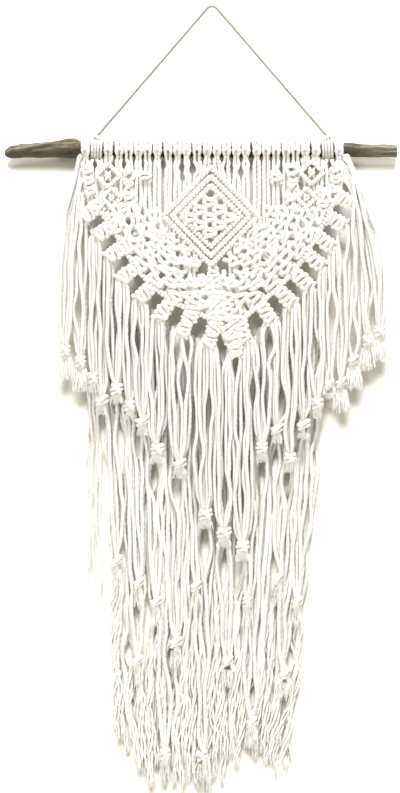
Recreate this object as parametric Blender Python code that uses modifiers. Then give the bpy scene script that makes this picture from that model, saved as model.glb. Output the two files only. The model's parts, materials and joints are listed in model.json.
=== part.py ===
"""A knotted cotton wall hanging on a driftwood branch, with the cord that it hangs by.

Metres, +Z up. The origin is where the nail bears in the top of the hanger cord. The front faces -Y,
and the back of the branch lies against the wall. Tables are in millimetres, x to the right and z up.
"""

import math

import bmesh
import bpy
from mathutils import Vector

MM = 0.001
CLEARANCE = 0.5 * MM
CAP_WELD = 0.001 * MM
SEAM_WELD = 0.2 * MM

# Branch: driftwood, with a worn point at the left and a saw cut at the right.
BRANCH_SIDES_RESOLUTION = 3
BRANCH_STATIONS = (  # x, z, radius
    (-259.0, -184.0, 2.0),
    (-252.0, -181.0, 6.0),
    (-238.0, -178.5, 9.0),
    (-214.0, -177.5, 10.0),
    (-190.0, -176.0, 11.5),
    (-176.0, -176.0, 11.8),
    (-166.0, -177.0, 9.8),
    (-100.0, -177.0, 9.6),
    (100.0, -177.0, 9.6),
    (166.0, -177.0, 9.6),
    (184.0, -177.5, 9.2),
    (208.0, -179.0, 9.6),
    (231.0, -179.5, 8.8),
)
BRANCH_Z = -177.0 * MM
BRANCH_RADIUS = 9.6 * MM

# Hanger: one cord in a triangle, bent over the nail and tied to the branch at both ends.
HANGER_RADIUS = 2.0 * MM
HANGER_BEND_RADIUS = 8.5 * MM
HANGER_FOOT_X = 143.75 * MM
HANGER_STEP = 11.5 * MM
HANGER_BEND_STEPS = 6
TIE_TURNS = 2
TIE_SIDES = 12
TIE_INNER_SHARE = 0.8

# Cotton cord, and how its hitches and knots stand. Bars lie in front of the cords that they are tied on.
PAIR_RADIUS = 4.2 * MM
PAIR_DEPTH_SHARE = 0.62
LOOSE_Y = -11.6 * MM
NET_Y = (-11.9 * MM, -12.7 * MM)
BUNCH_Y = -12.9 * MM
KNOT_Y = -13.4 * MM
BAR_Y = -14.0 * MM
HITCH_STEP = 13.0 * MM
HITCH_VALLEY = 0.80
KNOT_PROFILE = ((-0.5, 0.5), (-0.25, 1.0), (0.0, 0.8), (0.25, 1.0), (0.5, 0.5))  # place, swell
KNOT_HALF_DEPTH = 4.8 * MM

# Heading: lark's head hitches side by side round the branch, parted where the hanger is tied on.
HEAD_SIDES = 8
HEAD_BORE = 11.2 * MM
HEAD_VALLEY = 13.2 * MM
HEAD_RIDGE = 16.0 * MM
HEADINGS = (  # x, heads, pitch
    (-157.5, 1, 15.0),
    (0.0, 22, 12.3),
    (157.5, 1, 15.0),
)

HEAD_PAIR_DROP = 6.0

# Diamond: three hitched bars, one inside the other, round a net of square knots.
DIAMOND_BARS = (  # half width, half height
    (59.0, 61.0),
    (48.2, 49.6),
    (37.4, 38.2),
)
DIAMOND_CENTRE = (-1.5, -261.0)
DIAMOND_BAR_RADIUS = 3.7 * MM
NET_STEP_X = 12.0
NET_STEP_Z = 9.4
NET_CORD_RADIUS = 2.8 * MM
NET_KNOT = (9.6, 8.4)
SMALL_DIAMONDS = ((-129.5, -211.0), (124.0, -207.0))  # x, z
SMALL_DIAMOND_HALF = 15.0
SMALL_DIAMOND_RADIUS = 2.8 * MM
SMALL_KNOT = (8.0, 8.0)

# Belt: an inner and an outer bar down each side, met by a knot at every station. A bunch of cords leaves the
# outer bar at each station and reaches the edge, where the front fringe begins.
BELT_COLUMNS = ("inner_x", "inner_z", "outer_x", "outer_z", "edge_x", "edge_z")
BELT_LEFT = (
    (-106.0, -186.0, -152.0, -186.0, -166.0, -186.0),
    (-106.0, -240.0, -144.0, -249.0, -161.0, -265.0),
    (-96.0, -267.5, -125.0, -272.5, -145.0, -287.5),
    (-82.5, -290.0, -111.0, -299.0, -131.0, -314.0),
    (-70.0, -306.0, -95.0, -325.0, -115.0, -341.0),
    (-52.5, -322.5, -75.0, -347.5, -92.5, -366.0),
    (-34.0, -339.0, -51.0, -366.0, -67.5, -390.0),
    (-16.0, -351.0, -24.0, -379.0, -39.0, -410.0),
    (-1.0, -362.0, 6.0, -392.5, -6.0, -422.5),
)
BELT_RIGHT = (
    (106.0, -186.0, 155.0, -186.0, 167.0, -186.0),
    (110.0, -235.0, 154.0, -235.0, 175.0, -246.0),
    (106.0, -257.5, 144.0, -261.0, 165.0, -274.0),
    (97.5, -277.5, 130.0, -285.0, 151.0, -301.0),
    (84.0, -296.0, 117.5, -307.5, 139.0, -325.0),
    (66.0, -311.0, 101.0, -331.0, 122.5, -350.0),
    (49.0, -325.0, 81.0, -351.0, 101.0, -371.0),
    (32.5, -339.0, 60.0, -370.0, 75.0, -392.5),
    (17.5, -352.0, 39.0, -392.5, 47.5, -419.0),
)
BELT_TIP = {"inner": (8.0, -368.0), "outer": (27.0, -417.0), "edge": (31.0, -437.0)}
BELT_RADII = {"inner": 4.0 * MM, "outer": 4.5 * MM}
BELT_KNOT_WIDTH = 23.0
BUNCH_WIDTH = 11.5
BUNCH_STOP = 1.6

# Square knots that stand alone: on the loose cords, at the diamond's foot and beside it.
LONE_KNOTS = (  # x, z, width, height
    (-83.0, -211.0, 17.0, 11.0),
    (80.5, -213.0, 17.0, 11.0),
    (1.5, -333.0, 15.0, 12.0),
    (-62.0, -284.0, 14.0, 11.0),
    (62.0, -290.0, 14.0, 11.0),
)

# A head outside the ties drops its pair to the belt's side here, a little nearer the middle.
SIDE_PAIR_END_Z = -212.0
SIDE_PAIR_LEAN = 0.965

# Pairs of cords that hang loose from the diamond's foot to the belt.
FOOT_PAIR_X = (-50.0, -38.0, -25.0, 1.5, 24.0, 36.0, 48.0)

# Front fringe: cords off a strip at the belt's edge, knotted in groups along a stepped V.
STRIP_HALF_HEIGHT = 2.6 * MM
STRIP_DROP = 4.6
FRONT_LAYERS_Y = (-18.0 * MM, -13.0 * MM, -8.0 * MM)
FRONT_STRIP_HALF_DEPTH = 6.8 * MM
FRINGE_RADIUS = 2.3 * MM
FAN_POWER = 3.5
FRONT_GROUPS = (  # x and z of the knot, cords
    (-183.0, -428.0, 3),
    (-164.0, -442.0, 3),
    (-148.0, -462.0, 2),
    (-137.0, -490.0, 2),
    (-119.0, -476.0, 3),
    (-102.0, -497.0, 2),
    (-86.0, -516.0, 3),
    (-68.0, -551.0, 4),
    (-40.0, -569.0, 5),
    (-8.0, -632.0, 4),
    (15.0, -655.0, 4),
    (38.0, -672.0, 4),
    (62.0, -549.0, 3),
    (81.0, -526.0, 3),
    (97.0, -562.0, 2),
    (114.0, -520.0, 3),
    (131.0, -494.0, 2),
    (146.0, -470.0, 2),
    (161.0, -468.0, 2),
    (176.0, -440.0, 3),
    (193.0, -416.0, 2),
    (209.0, -404.0, 3),
)
GROUP_SPACING = 5.6
FALL_SHARES = (0.0, 0.12, 0.35)
KNOT_HALF_HEIGHT = 7.0
TUFT_LENGTH = 17.0
KNOT_SWELL = 1.15
SLACK_SWELL = 0.85

# Back fringe: long cords off a strip behind the edge, ragged at the bottom.
BACK_LAYERS_Y = (-2.7 * MM, 2.7 * MM)
BACK_STRIP_HALF_DEPTH = 4.4 * MM
BACK_STRIP_REACH = 5.0
BACK_STRIP_INSET = 2.0
BACK_CORDS = 44
BACK_ENDS = (  # x, z
    (-156.0, -715.0),
    (-142.0, -730.0),
    (-136.0, -830.0),
    (-124.0, -895.0),
    (-108.0, -915.0),
    (-96.0, -945.0),
    (-72.0, -972.0),
    (-56.0, -930.0),
    (-30.0, -935.0),
    (-16.0, -974.0),
    (4.0, -962.0),
    (30.0, -930.0),
    (52.0, -940.0),
    (70.0, -915.0),
    (92.0, -955.0),
    (106.0, -915.0),
    (122.0, -850.0),
    (135.0, -790.0),
)
BACK_NARROWING = 0.86
WAVE_HEIGHT = 2.2
WAVE_LENGTH = 190.0
WAVE_SHIFT = 0.21
WAVE_ONSET = 1.0 / 3.0
BACK_SEGMENT = 105.0

COTTON = (0.90, 0.88, 0.83)
HANGER_COTTON = (0.80, 0.77, 0.70)
DRIFTWOOD = (0.42, 0.35, 0.28)


def clear_scene():
    for thing in list(bpy.data.objects):
        bpy.data.objects.remove(thing)


def new_collection(name):
    made = bpy.data.collections.new(name)
    bpy.context.scene.collection.children.link(made)
    return made


def new_material(name, colour, roughness):
    material = bpy.data.materials.new(name)
    material.use_nodes = True
    shader = material.node_tree.nodes["Principled BSDF"]
    shader.inputs["Base Color"].default_value = (*colour, 1.0)
    shader.inputs["Roughness"].default_value = roughness
    shader.inputs["Metallic"].default_value = 0.0
    return material


def in_frame(x, z, y):
    """A table's x and z in millimetres, and a depth in metres, as a point."""
    return Vector((x * MM, y, z * MM))


def welded(mesh, distance):
    """Points this close made one, and the faces turned outwards."""
    shape = bmesh.new()
    shape.from_mesh(mesh)
    bmesh.ops.remove_doubles(shape, verts=shape.verts, dist=distance)
    bmesh.ops.recalc_face_normals(shape, faces=shape.faces)
    shape.to_mesh(mesh)
    shape.free()


def tube(name, points, radii, resolution=0, depth_scale=1.0, closed=False, tilt=0.0):
    """A closed mesh tube along the points, with a radius at each and its depth along Y scaled."""
    curve = bpy.data.curves.new(name, "CURVE")
    curve.dimensions = "3D"
    curve.bevel_depth = 1.0
    curve.bevel_resolution = resolution
    curve.use_fill_caps = True
    spline = curve.splines.new("POLY")
    spline.points.add(len(points) - 1)
    for spot, place, radius in zip(spline.points, points, radii):
        spot.co = (*place, 1.0)
        spot.radius = radius
        spot.tilt = tilt
    spline.use_cyclic_u = closed
    guide = bpy.data.objects.new(name + "_path", curve)
    bpy.context.scene.collection.objects.link(guide)
    bpy.context.view_layer.update()
    mesh = bpy.data.meshes.new_from_object(guide.evaluated_get(bpy.context.evaluated_depsgraph_get()))
    bpy.data.objects.remove(guide)
    welded(mesh, CAP_WELD)
    middle = sum(point.y for point in points) / len(points)
    for vertex in mesh.vertices:
        vertex.co.y = middle + (vertex.co.y - middle) * depth_scale
    mesh.name = name
    return bpy.data.objects.new(name, mesh)


def along(points, step):
    """Points at about this step along a polyline, its corners kept."""
    found = [points[0]]
    for start, end in zip(points, points[1:]):
        count = max(1, round((end - start).length / step))
        found += [start.lerp(end, i / count) for i in range(1, count + 1)]
    return found


def strip(name, line, half_height, half_depth, y):
    """A flat-sided strip along a line of table points."""
    points = [in_frame(x, z, y) for x, z in line]
    corner = half_height * math.sqrt(2.0)
    return tube(name, points, [corner] * len(points), depth_scale=half_depth / half_height, tilt=math.pi / 4)


def hitched_bar(name, corners, radius, closed=False):
    """A bar of hitches: a tube whose radius rises and falls along it."""
    path = along(corners + corners[:1] if closed else corners, HITCH_STEP)
    if closed:
        path = path[:-1]
    radii = [radius * (1.0 if i % 2 else HITCH_VALLEY) for i in range(len(path))]
    return tube(name, path, radii, closed=closed)


def knot(name, start, end, width, resolution=0):
    """Two ridges with a waist between them, from start to end."""
    points = [start.lerp(end, 0.5 + share) for share, _ in KNOT_PROFILE]
    radii = [width / 2 * MM * swell for _, swell in KNOT_PROFILE]
    depth_scale = KNOT_HALF_DEPTH / (width / 2 * MM)
    return tube(name, points, radii, resolution=resolution, depth_scale=depth_scale)


def square_knot(name, x, z, width, height):
    """A knot on end, centred on this table point."""
    return knot(name, in_frame(x, z - height / 2, KNOT_Y), in_frame(x, z + height / 2, KNOT_Y), width)


def cord_pair(name, start, end):
    """Two cords side by side, as one flat strand."""
    return tube(name, [start, end], [PAIR_RADIUS] * 2, depth_scale=PAIR_DEPTH_SHARE)


def turned_ring(name, profile, x, steps):
    """A profile of distance along X and radius, turned round the branch's axis."""
    mesh = bpy.data.meshes.new(name)
    shape = bmesh.new()
    corners = [shape.verts.new((x + along_x, 0.0, radius)) for along_x, radius in profile]
    for first, second in zip(corners, corners[1:] + corners[:1]):
        shape.edges.new((first, second))
    shape.to_mesh(mesh)
    shape.free()
    ring = bpy.data.objects.new(name, mesh)
    bpy.context.scene.collection.objects.link(ring)
    screw = ring.modifiers.new("turn", "SCREW")
    screw.axis = "X"
    screw.angle = math.tau
    screw.screw_offset = 0.0
    screw.steps = steps
    screw.render_steps = steps
    screw.use_merge_vertices = True
    screw.merge_threshold = CAP_WELD
    bpy.context.view_layer.update()
    turned = bpy.data.meshes.new_from_object(ring.evaluated_get(bpy.context.evaluated_depsgraph_get()))
    bpy.data.objects.remove(ring)
    welded(turned, CAP_WELD)
    for vertex in turned.vertices:
        vertex.co.z += BRANCH_Z
    return bpy.data.objects.new(name, turned)


def heading(name, x, heads, pitch):
    """A stretch of lark's heads, each one ridge of the ring."""
    half = heads * pitch / 2
    outside = []
    for i in range(heads):
        left = -half + i * pitch
        outside += [(left, HEAD_VALLEY), (left + pitch / 2, HEAD_RIDGE)]
    outside.append((half, HEAD_VALLEY))
    profile = outside + [(half, HEAD_BORE), (-half, HEAD_BORE)]
    return turned_ring(name, profile, x, HEAD_SIDES)


def joined(name, pieces, material, collection):
    """One closed body of overlapping pieces."""
    first, *others = pieces
    first.name = name
    first.data.name = name
    collection.objects.link(first)
    operands = bpy.data.collections.new(name + "_pieces")
    bpy.context.scene.collection.children.link(operands)
    for piece in others:
        operands.objects.link(piece)
    union = first.modifiers.new("join", "BOOLEAN")
    union.operation = "UNION"
    union.solver = "EXACT"
    union.operand_type = "COLLECTION"
    union.collection = operands
    bpy.context.view_layer.update()
    mesh = bpy.data.meshes.new_from_object(first.evaluated_get(bpy.context.evaluated_depsgraph_get()))
    first.modifiers.clear()
    for piece in others:
        bpy.data.objects.remove(piece)
    bpy.data.collections.remove(operands)
    first.data = mesh
    mesh.name = name
    mesh.materials.clear()
    mesh.materials.append(material)
    return first


def make_branch(collection, material):
    points = [in_frame(x, z, 0.0) for x, z, _ in BRANCH_STATIONS]
    radii = [radius * MM for *_, radius in BRANCH_STATIONS]
    branch = tube("branch", points, radii, resolution=BRANCH_SIDES_RESOLUTION)
    branch.data.materials.append(material)
    collection.objects.link(branch)
    branch.data.shade_smooth()
    branch.data.set_sharp_from_angle(angle=math.radians(50.0))


def hanger_points():
    """The route from the left tie over the nail to the right tie, with a round bend at the top."""
    foot_z = BRANCH_Z + BRANCH_RADIUS + 3 * HANGER_RADIUS + 2 * CLEARANCE
    bend_centre_z = HANGER_RADIUS - HANGER_BEND_RADIUS
    reach = math.hypot(HANGER_FOOT_X, bend_centre_z - foot_z)
    lean = math.atan2(HANGER_FOOT_X, bend_centre_z - foot_z) - math.asin(HANGER_BEND_RADIUS / reach)
    touch = math.pi / 2 - lean
    bend = []
    for i in range(HANGER_BEND_STEPS + 1):
        angle = -touch + 2 * touch * i / HANGER_BEND_STEPS
        x = HANGER_BEND_RADIUS * math.sin(angle)
        z = bend_centre_z + HANGER_BEND_RADIUS * math.cos(angle)
        bend.append(Vector((x, 0.0, z)))
    left = along([Vector((-HANGER_FOOT_X, 0.0, foot_z)), bend[0]], HANGER_STEP)
    right = along([bend[-1], Vector((HANGER_FOOT_X, 0.0, foot_z))], HANGER_STEP)
    return left[:-1] + bend + right[1:]


def make_hanger(collection, material):
    points = hanger_points()
    cord = tube("hanger_cord", points, [HANGER_RADIUS] * len(points), resolution=2)
    cord.data.materials.append(material)
    collection.objects.link(cord)
    inner = BRANCH_RADIUS + 2 * CLEARANCE
    profile = []
    for turn in range(TIE_TURNS):
        centre = (turn - (TIE_TURNS - 1) / 2) * 2 * HANGER_RADIUS
        profile += [
            (centre - HANGER_RADIUS, inner + HANGER_RADIUS),
            (centre, inner + 2 * HANGER_RADIUS),
        ]
    half = TIE_TURNS * HANGER_RADIUS
    inside = half * TIE_INNER_SHARE
    profile += [(half, inner + HANGER_RADIUS), (inside, inner), (-inside, inner)]
    for side, name in ((-1, "hanger_tie_left"), (1, "hanger_tie_right")):
        tie = turned_ring(name, profile, side * HANGER_FOOT_X, TIE_SIDES)
        tie.data.materials.append(material)
        collection.objects.link(tie)


def diamond_corners(half_width, half_height, centre=DIAMOND_CENTRE, y=BAR_Y):
    x, z = centre
    return [
        in_frame(x, z + half_height, y),
        in_frame(x + half_width, z, y),
        in_frame(x, z - half_height, y),
        in_frame(x - half_width, z, y),
    ]


def diamond_side_z(x, half_width, half_height, below=False):
    """Where the diamond's upper or lower side stands at this x, or None beside it."""
    centre_x, centre_z = DIAMOND_CENTRE
    share = 1.0 - abs(x - centre_x) / half_width
    if share < 0.0:
        return None
    return centre_z + (-1 if below else 1) * half_height * share


def net_cord(name, lean, line):
    """A cord of the net, from one side of the outer bar to the other."""
    centre_x, centre_z = DIAMOND_CENTRE
    half_width, half_height = DIAMOND_BARS[0]
    slope = NET_STEP_Z / NET_STEP_X
    offset = 2 * line * NET_STEP_Z
    ends = []
    for side in (-1, 1):
        reach = (half_height - lean * side * offset) / (half_height / half_width + slope)
        z = centre_z + offset + lean * side * slope * reach
        ends.append(in_frame(centre_x + side * reach, z, NET_Y[lean > 0]))
    return tube(name, ends, [NET_CORD_RADIUS] * 2)


def diamond_pieces():
    pieces = []
    for i, (half_width, half_height) in enumerate(DIAMOND_BARS):
        corners = diamond_corners(half_width, half_height)
        pieces.append(hitched_bar(f"diamond_bar_{i}", corners, DIAMOND_BAR_RADIUS, closed=True))
    for line in (-1, 0, 1):
        pieces += [net_cord(f"net_cord_{lean}_{line}", lean, line) for lean in (-1, 1)]
    centre_x, centre_z = DIAMOND_CENTRE
    for row in (-2, -1, 0, 1, 2):
        for column in range(-2 + abs(row), 3 - abs(row), 2):
            x = centre_x + column * NET_STEP_X
            z = centre_z + row * NET_STEP_Z
            pieces.append(square_knot(f"net_knot_{row}_{column}", x, z, *NET_KNOT))
    return pieces


def small_diamond_pieces():
    pieces = []
    for i, centre in enumerate(SMALL_DIAMONDS):
        corners = diamond_corners(SMALL_DIAMOND_HALF, SMALL_DIAMOND_HALF, centre)
        bar = hitched_bar(f"small_diamond_{i}", corners, SMALL_DIAMOND_RADIUS, closed=True)
        x, z = centre
        half = SMALL_DIAMOND_HALF
        across = [in_frame(x - half, z, LOOSE_Y), in_frame(x + half, z, LOOSE_Y)]
        pieces += [bar, tube(f"small_cross_{i}", across, [SMALL_DIAMOND_RADIUS] * 2)]
        pieces.append(square_knot(f"small_knot_{i}", *centre, *SMALL_KNOT))
    return pieces


def belt_line(line):
    """Table points of one line of the belt, from the left heading round the tip to the right heading."""
    column = BELT_COLUMNS.index(line + "_x")
    left = [(row[column], row[column + 1]) for row in BELT_LEFT]
    right = [(row[column], row[column + 1]) for row in BELT_RIGHT]
    return left + [BELT_TIP[line]] + right[::-1]


def belt_z_at(x, line):
    """Where a line of the belt stands at this x, below its first station, or None beside it."""
    points = belt_line(line)[1:-1]
    for (x0, z0), (x1, z1) in zip(points, points[1:]):
        if x0 <= x <= x1 and x0 != x1:
            return z0 + (z1 - z0) * (x - x0) / (x1 - x0)
    return None


def belt_pieces():
    """The belt's two bars, the knots tied between them, and the bunches that stop short of the fringe."""
    pieces = []
    for line, radius in BELT_RADII.items():
        points = [in_frame(x, z, BAR_Y) for x, z in belt_line(line)]
        pieces.append(hitched_bar(f"{line}_bar", points, radius))
    for side, rows in (("left", BELT_LEFT), ("right", BELT_RIGHT)):
        for i, row in enumerate(rows[1:], 1):
            inner, outer = in_frame(*row[0:2], KNOT_Y), in_frame(*row[2:4], KNOT_Y)
            pieces.append(knot(f"belt_knot_{side}_{i}", inner, outer, BELT_KNOT_WIDTH, resolution=1))
            start, edge = in_frame(*row[2:4], BUNCH_Y), in_frame(*row[4:6], BUNCH_Y)
            end = edge - (edge - start).normalized() * BUNCH_STOP * MM
            pieces.append(knot(f"bunch_{side}_{i}", start, end, BUNCH_WIDTH))
    return pieces


def loose_pieces():
    """Pairs that hang straight from the heading to the diamond or the belt, and from the diamond's foot."""
    pieces = []
    top_z = BRANCH_Z / MM - HEAD_PAIR_DROP
    for i, (centre, heads, pitch) in enumerate(HEADINGS):
        for j in range(heads):
            x = centre + (j - (heads - 1) / 2) * pitch
            end_x = x
            end_z = diamond_side_z(x, *DIAMOND_BARS[0]) or belt_z_at(x, "inner") or belt_z_at(x, "outer")
            if end_z is None:
                end_x, end_z = x * SIDE_PAIR_LEAN, SIDE_PAIR_END_Z
            start, end = in_frame(x, top_z, LOOSE_Y), in_frame(end_x, end_z, LOOSE_Y)
            pieces.append(cord_pair(f"head_pair_{i}_{j}", start, end))
    for i, x in enumerate(FOOT_PAIR_X):
        start_z = diamond_side_z(x, *DIAMOND_BARS[0], below=True)
        end_z = belt_z_at(x, "inner")
        pieces.append(cord_pair(f"foot_pair_{i}", in_frame(x, start_z, LOOSE_Y), in_frame(x, end_z, LOOSE_Y)))
    for i, (x, z, width, height) in enumerate(LONE_KNOTS):
        pieces.append(square_knot(f"lone_knot_{i}", x, z, width, height))
    return pieces


def make_panel(collection, material):
    pieces = []
    for i, (x, heads, pitch) in enumerate(HEADINGS):
        pieces.append(heading(f"heading_{i}", x * MM, heads, pitch * MM))
    pieces += diamond_pieces() + small_diamond_pieces() + belt_pieces() + loose_pieces()
    welded(joined("panel", pieces, material, collection).data, SEAM_WELD)


def edge_points(drop):
    """The belt's edge from its left end round the tip to its right end, let down by drop square to itself."""
    edge = belt_line("edge")
    moved = []
    for i, (x, z) in enumerate(edge):
        before = edge[max(0, i - 1)]
        after = edge[min(len(edge) - 1, i + 1)]
        run = Vector((after[0] - before[0], after[1] - before[1])).normalized()
        moved.append((x + run.y * drop, z - run.x * drop))
    return moved


def on_line(points, share):
    """The point this share of the way along a polyline."""
    lengths = [math.dist(a, b) for a, b in zip(points, points[1:])]
    left = share * sum(lengths)
    for (start, end), length in zip(zip(points, points[1:]), lengths):
        if left <= length:
            part = left / length
            return start[0] + (end[0] - start[0]) * part, start[1] + (end[1] - start[1]) * part
        left -= length
    return points[-1]


def eased(share):
    return share * share * (3.0 - 2.0 * share)


def make_front_fringe(collection, material):
    line = edge_points(STRIP_DROP)
    middle_y = sum(FRONT_LAYERS_Y) / len(FRONT_LAYERS_Y)
    pieces = [strip("front_strip", line, STRIP_HALF_HEIGHT, FRONT_STRIP_HALF_DEPTH, middle_y)]
    total = sum(cords for *_, cords in FRONT_GROUPS)
    index = 0
    for knot_x, knot_z, cords in FRONT_GROUPS:
        for place in range(cords):
            root_x, root_z = on_line(line, (index + 0.5) / total)
            x = knot_x + (place - (cords - 1) / 2) * GROUP_SPACING
            knot_top = knot_z + KNOT_HALF_HEIGHT
            stations = []
            for share in FALL_SHARES:
                spread = 1.0 - (1.0 - share) ** FAN_POWER
                stations.append((root_x + (x - root_x) * spread, root_z + (knot_top - root_z) * share, 1.0))
            stations += [
                (x, knot_top, SLACK_SWELL),
                (x, knot_z, KNOT_SWELL),
                (x, knot_z - KNOT_HALF_HEIGHT - TUFT_LENGTH, SLACK_SWELL),
            ]
            layer_y = FRONT_LAYERS_Y[index % len(FRONT_LAYERS_Y)]
            points = [in_frame(px, pz, layer_y) for px, pz, _ in stations]
            radii = [FRINGE_RADIUS * swell for *_, swell in stations]
            pieces.append(tube(f"front_cord_{index}", points, radii))
            index += 1
    joined("front_fringe", pieces, material, collection)


def back_end_z(x):
    for (x0, z0), (x1, z1) in zip(BACK_ENDS, BACK_ENDS[1:]):
        if x0 <= x <= x1:
            return z0 + (z1 - z0) * (x - x0) / (x1 - x0)
    return BACK_ENDS[0][1] if x < BACK_ENDS[0][0] else BACK_ENDS[-1][1]


def make_back_fringe(collection, material):
    least_x, most_x = BACK_ENDS[0][0], BACK_ENDS[-1][0] + BACK_STRIP_REACH
    edge = [point for point in edge_points(0.0) if least_x <= point[0] <= most_x]
    middle_y = sum(BACK_LAYERS_Y) / len(BACK_LAYERS_Y)
    pieces = [strip("back_strip", edge, STRIP_HALF_HEIGHT, BACK_STRIP_HALF_DEPTH, middle_y)]
    left, right = edge[0][0] + BACK_STRIP_INSET, edge[-1][0] - BACK_STRIP_INSET
    middle = (left + right) / 2
    for i in range(BACK_CORDS):
        root_x = left + (right - left) * i / (BACK_CORDS - 1)
        root_z = next(
            z0 + (z1 - z0) * (root_x - x0) / (x1 - x0)
            for (x0, z0), (x1, z1) in zip(edge, edge[1:])
            if x0 <= root_x <= x1
        )
        end_z = back_end_z(root_x)
        count = max(2, round((root_z - end_z) / BACK_SEGMENT))
        stations = []
        for j in range(count + 1):
            share = j / count
            z = root_z + (end_z - root_z) * share
            narrow = 1.0 + (BACK_NARROWING - 1.0) * eased(share)
            turn = math.tau * (z / WAVE_LENGTH + i * WAVE_SHIFT)
            wave = WAVE_HEIGHT * math.sin(turn) * min(1.0, share / WAVE_ONSET)
            stations.append(in_frame(middle + (root_x - middle) * narrow + wave, z, BACK_LAYERS_Y[i % 2]))
        pieces.append(tube(f"back_cord_{i}", stations, [FRINGE_RADIUS] * len(stations)))
    joined("back_fringe", pieces, material, collection)


def main():
    clear_scene()
    parts = new_collection("macrame_wall_hanging")
    cotton = new_material("cotton_cord", COTTON, 0.9)
    hanger_cotton = new_material("hanger_cotton", HANGER_COTTON, 0.9)
    driftwood = new_material("driftwood", DRIFTWOOD, 0.8)
    make_branch(parts, driftwood)
    make_hanger(parts, hanger_cotton)
    make_panel(parts, cotton)
    make_front_fringe(parts, cotton)
    make_back_fringe(parts, cotton)


main()
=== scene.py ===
import json
import math
import random
from functools import partial

import bpy
import numpy as np
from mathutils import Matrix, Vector, noise

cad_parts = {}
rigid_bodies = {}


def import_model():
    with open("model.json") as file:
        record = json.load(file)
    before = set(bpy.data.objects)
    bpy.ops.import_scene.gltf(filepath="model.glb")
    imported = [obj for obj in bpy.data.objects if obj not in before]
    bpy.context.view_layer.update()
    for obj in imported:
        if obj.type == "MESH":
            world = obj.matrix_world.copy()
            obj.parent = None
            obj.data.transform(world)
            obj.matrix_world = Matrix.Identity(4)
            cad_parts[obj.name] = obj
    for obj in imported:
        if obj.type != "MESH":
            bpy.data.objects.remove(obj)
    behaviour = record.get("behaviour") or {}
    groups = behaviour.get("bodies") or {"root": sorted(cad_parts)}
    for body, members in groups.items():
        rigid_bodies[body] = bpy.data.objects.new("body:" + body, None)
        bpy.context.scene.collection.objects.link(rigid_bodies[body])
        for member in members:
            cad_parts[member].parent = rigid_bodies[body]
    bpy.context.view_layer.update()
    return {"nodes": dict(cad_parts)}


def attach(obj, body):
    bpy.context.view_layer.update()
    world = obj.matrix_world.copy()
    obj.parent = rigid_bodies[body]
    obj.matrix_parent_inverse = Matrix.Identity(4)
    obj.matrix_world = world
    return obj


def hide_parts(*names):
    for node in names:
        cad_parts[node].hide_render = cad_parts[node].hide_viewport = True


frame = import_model()
mm = 0.001
scene = bpy.context.scene
print("frame loaded:", ", ".join(sorted(frame["nodes"])))


# small helpers, all tables are in millimetres: x to the right, z up, y away from the viewer

def linear(hexColour):
    parts = [int(hexColour[i:i + 2], 16) / 255 for i in (1, 3, 5)]
    return tuple(c / 12.92 if c <= 0.04045 else ((c + 0.055) / 1.055) ** 2.4 for c in parts) + (1.0,)


def feed(tree, node, inputs):
    # an input takes a value, an output, or a node, which stands for its first output
    for socket, value in inputs.items():
        value = value.outputs[0] if isinstance(value, bpy.types.Node) else value
        if isinstance(value, bpy.types.NodeSocket):
            tree.links.new(value, node.inputs[socket])
        else:
            node.inputs[socket].default_value = value


def addNode(tree, kind, inputs=None, **settings):
    node = tree.nodes.new(kind)
    for name, value in settings.items():
        setattr(node, name, value)
    feed(tree, node, inputs or {})
    return node


def smoothed(path, perSpan=4):
    # a soft line through every point, columns x y z radius
    points = np.array(path, float)
    if len(points) < 3:
        return points
    padded = np.vstack([2 * points[0] - points[1], points, 2 * points[-1] - points[-2]])
    t = np.linspace(0, 1, perSpan, endpoint=False)[:, None]
    spans = []
    for a, b, c, d in zip(padded, padded[1:], padded[2:], padded[3:]):
        bend, twist = 2 * a - 5 * b + 4 * c - d, 3 * b - a - 3 * c + d
        spans.append(0.5 * (2 * b + (c - a) * t + bend * t**2 + twist * t**3))
    return np.vstack(spans + [points[-1:]])


gapShape = {
    "clear": 2.9,  # from the rim of a gap to the middle of a cord
    "reach": 2.0,  # cords give way as far out as this many times the rim
    "lift": 0.8,  # share of the push that goes up or down
    "tall": 3.5,  # height of a gap between hanging cords against its width
    "least": 0.3,
}


def parted(paths, gaps):
    # cords drawn aside round small gaps, columns x z radius
    for path in paths:
        rows = np.array(path, float)
        for gapX, gapZ, size in gaps:
            rim = size + gapShape["clear"]
            away = np.stack([rows[:, 0] - gapX, rows[:, 2] - gapZ])
            far = np.maximum(np.hypot(*away), gapShape["least"])
            push = rim * np.clip(1.0 - far / (rim * gapShape["reach"]), 0.0, None)
            rows[:, 0] += away[0] / far * push
            rows[:, 2] += away[1] / far * push * gapShape["lift"]
        yield rows


def drawnApart(paths, gaps):
    # hanging cords that leave a tall gap between them, each passes it on the side where it hangs
    for path in paths:
        rows = np.array(path, float)
        for gapX, gapZ, size in gaps:
            rim = size + gapShape["clear"]
            side = 1.0 if rows[np.argmin(abs(rows[:, 2] - gapZ)), 0] > gapX else -1.0
            far = np.hypot(rows[:, 0] - gapX, (rows[:, 2] - gapZ) / gapShape["tall"])
            ease = np.clip(1.0 - far / (rim * gapShape["reach"]), 0.0, None)
            rows[:, 0] += side * rim * ease * ease * (3.0 - 2.0 * ease)
        yield rows


def lineAt(points, x):
    for (x0, z0), (x1, z1) in zip(points, points[1:]):
        if x0 <= x <= x1 and x1 > x0:
            return z0 + (z1 - z0) * (x - x0) / (x1 - x0)
    return None


# the camera looks straight at the hanging, one photo pixel is 1.25 mm

photo = {
    "wide": 400, "high": 793, "mmPerPixel": 1.25, "topX": 212, "topY": 8,  # the bend at the hanger's top
    "sensor": 36.0, "distance": 3.2, "clip": 30.0,  # distances in metres
}


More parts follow.
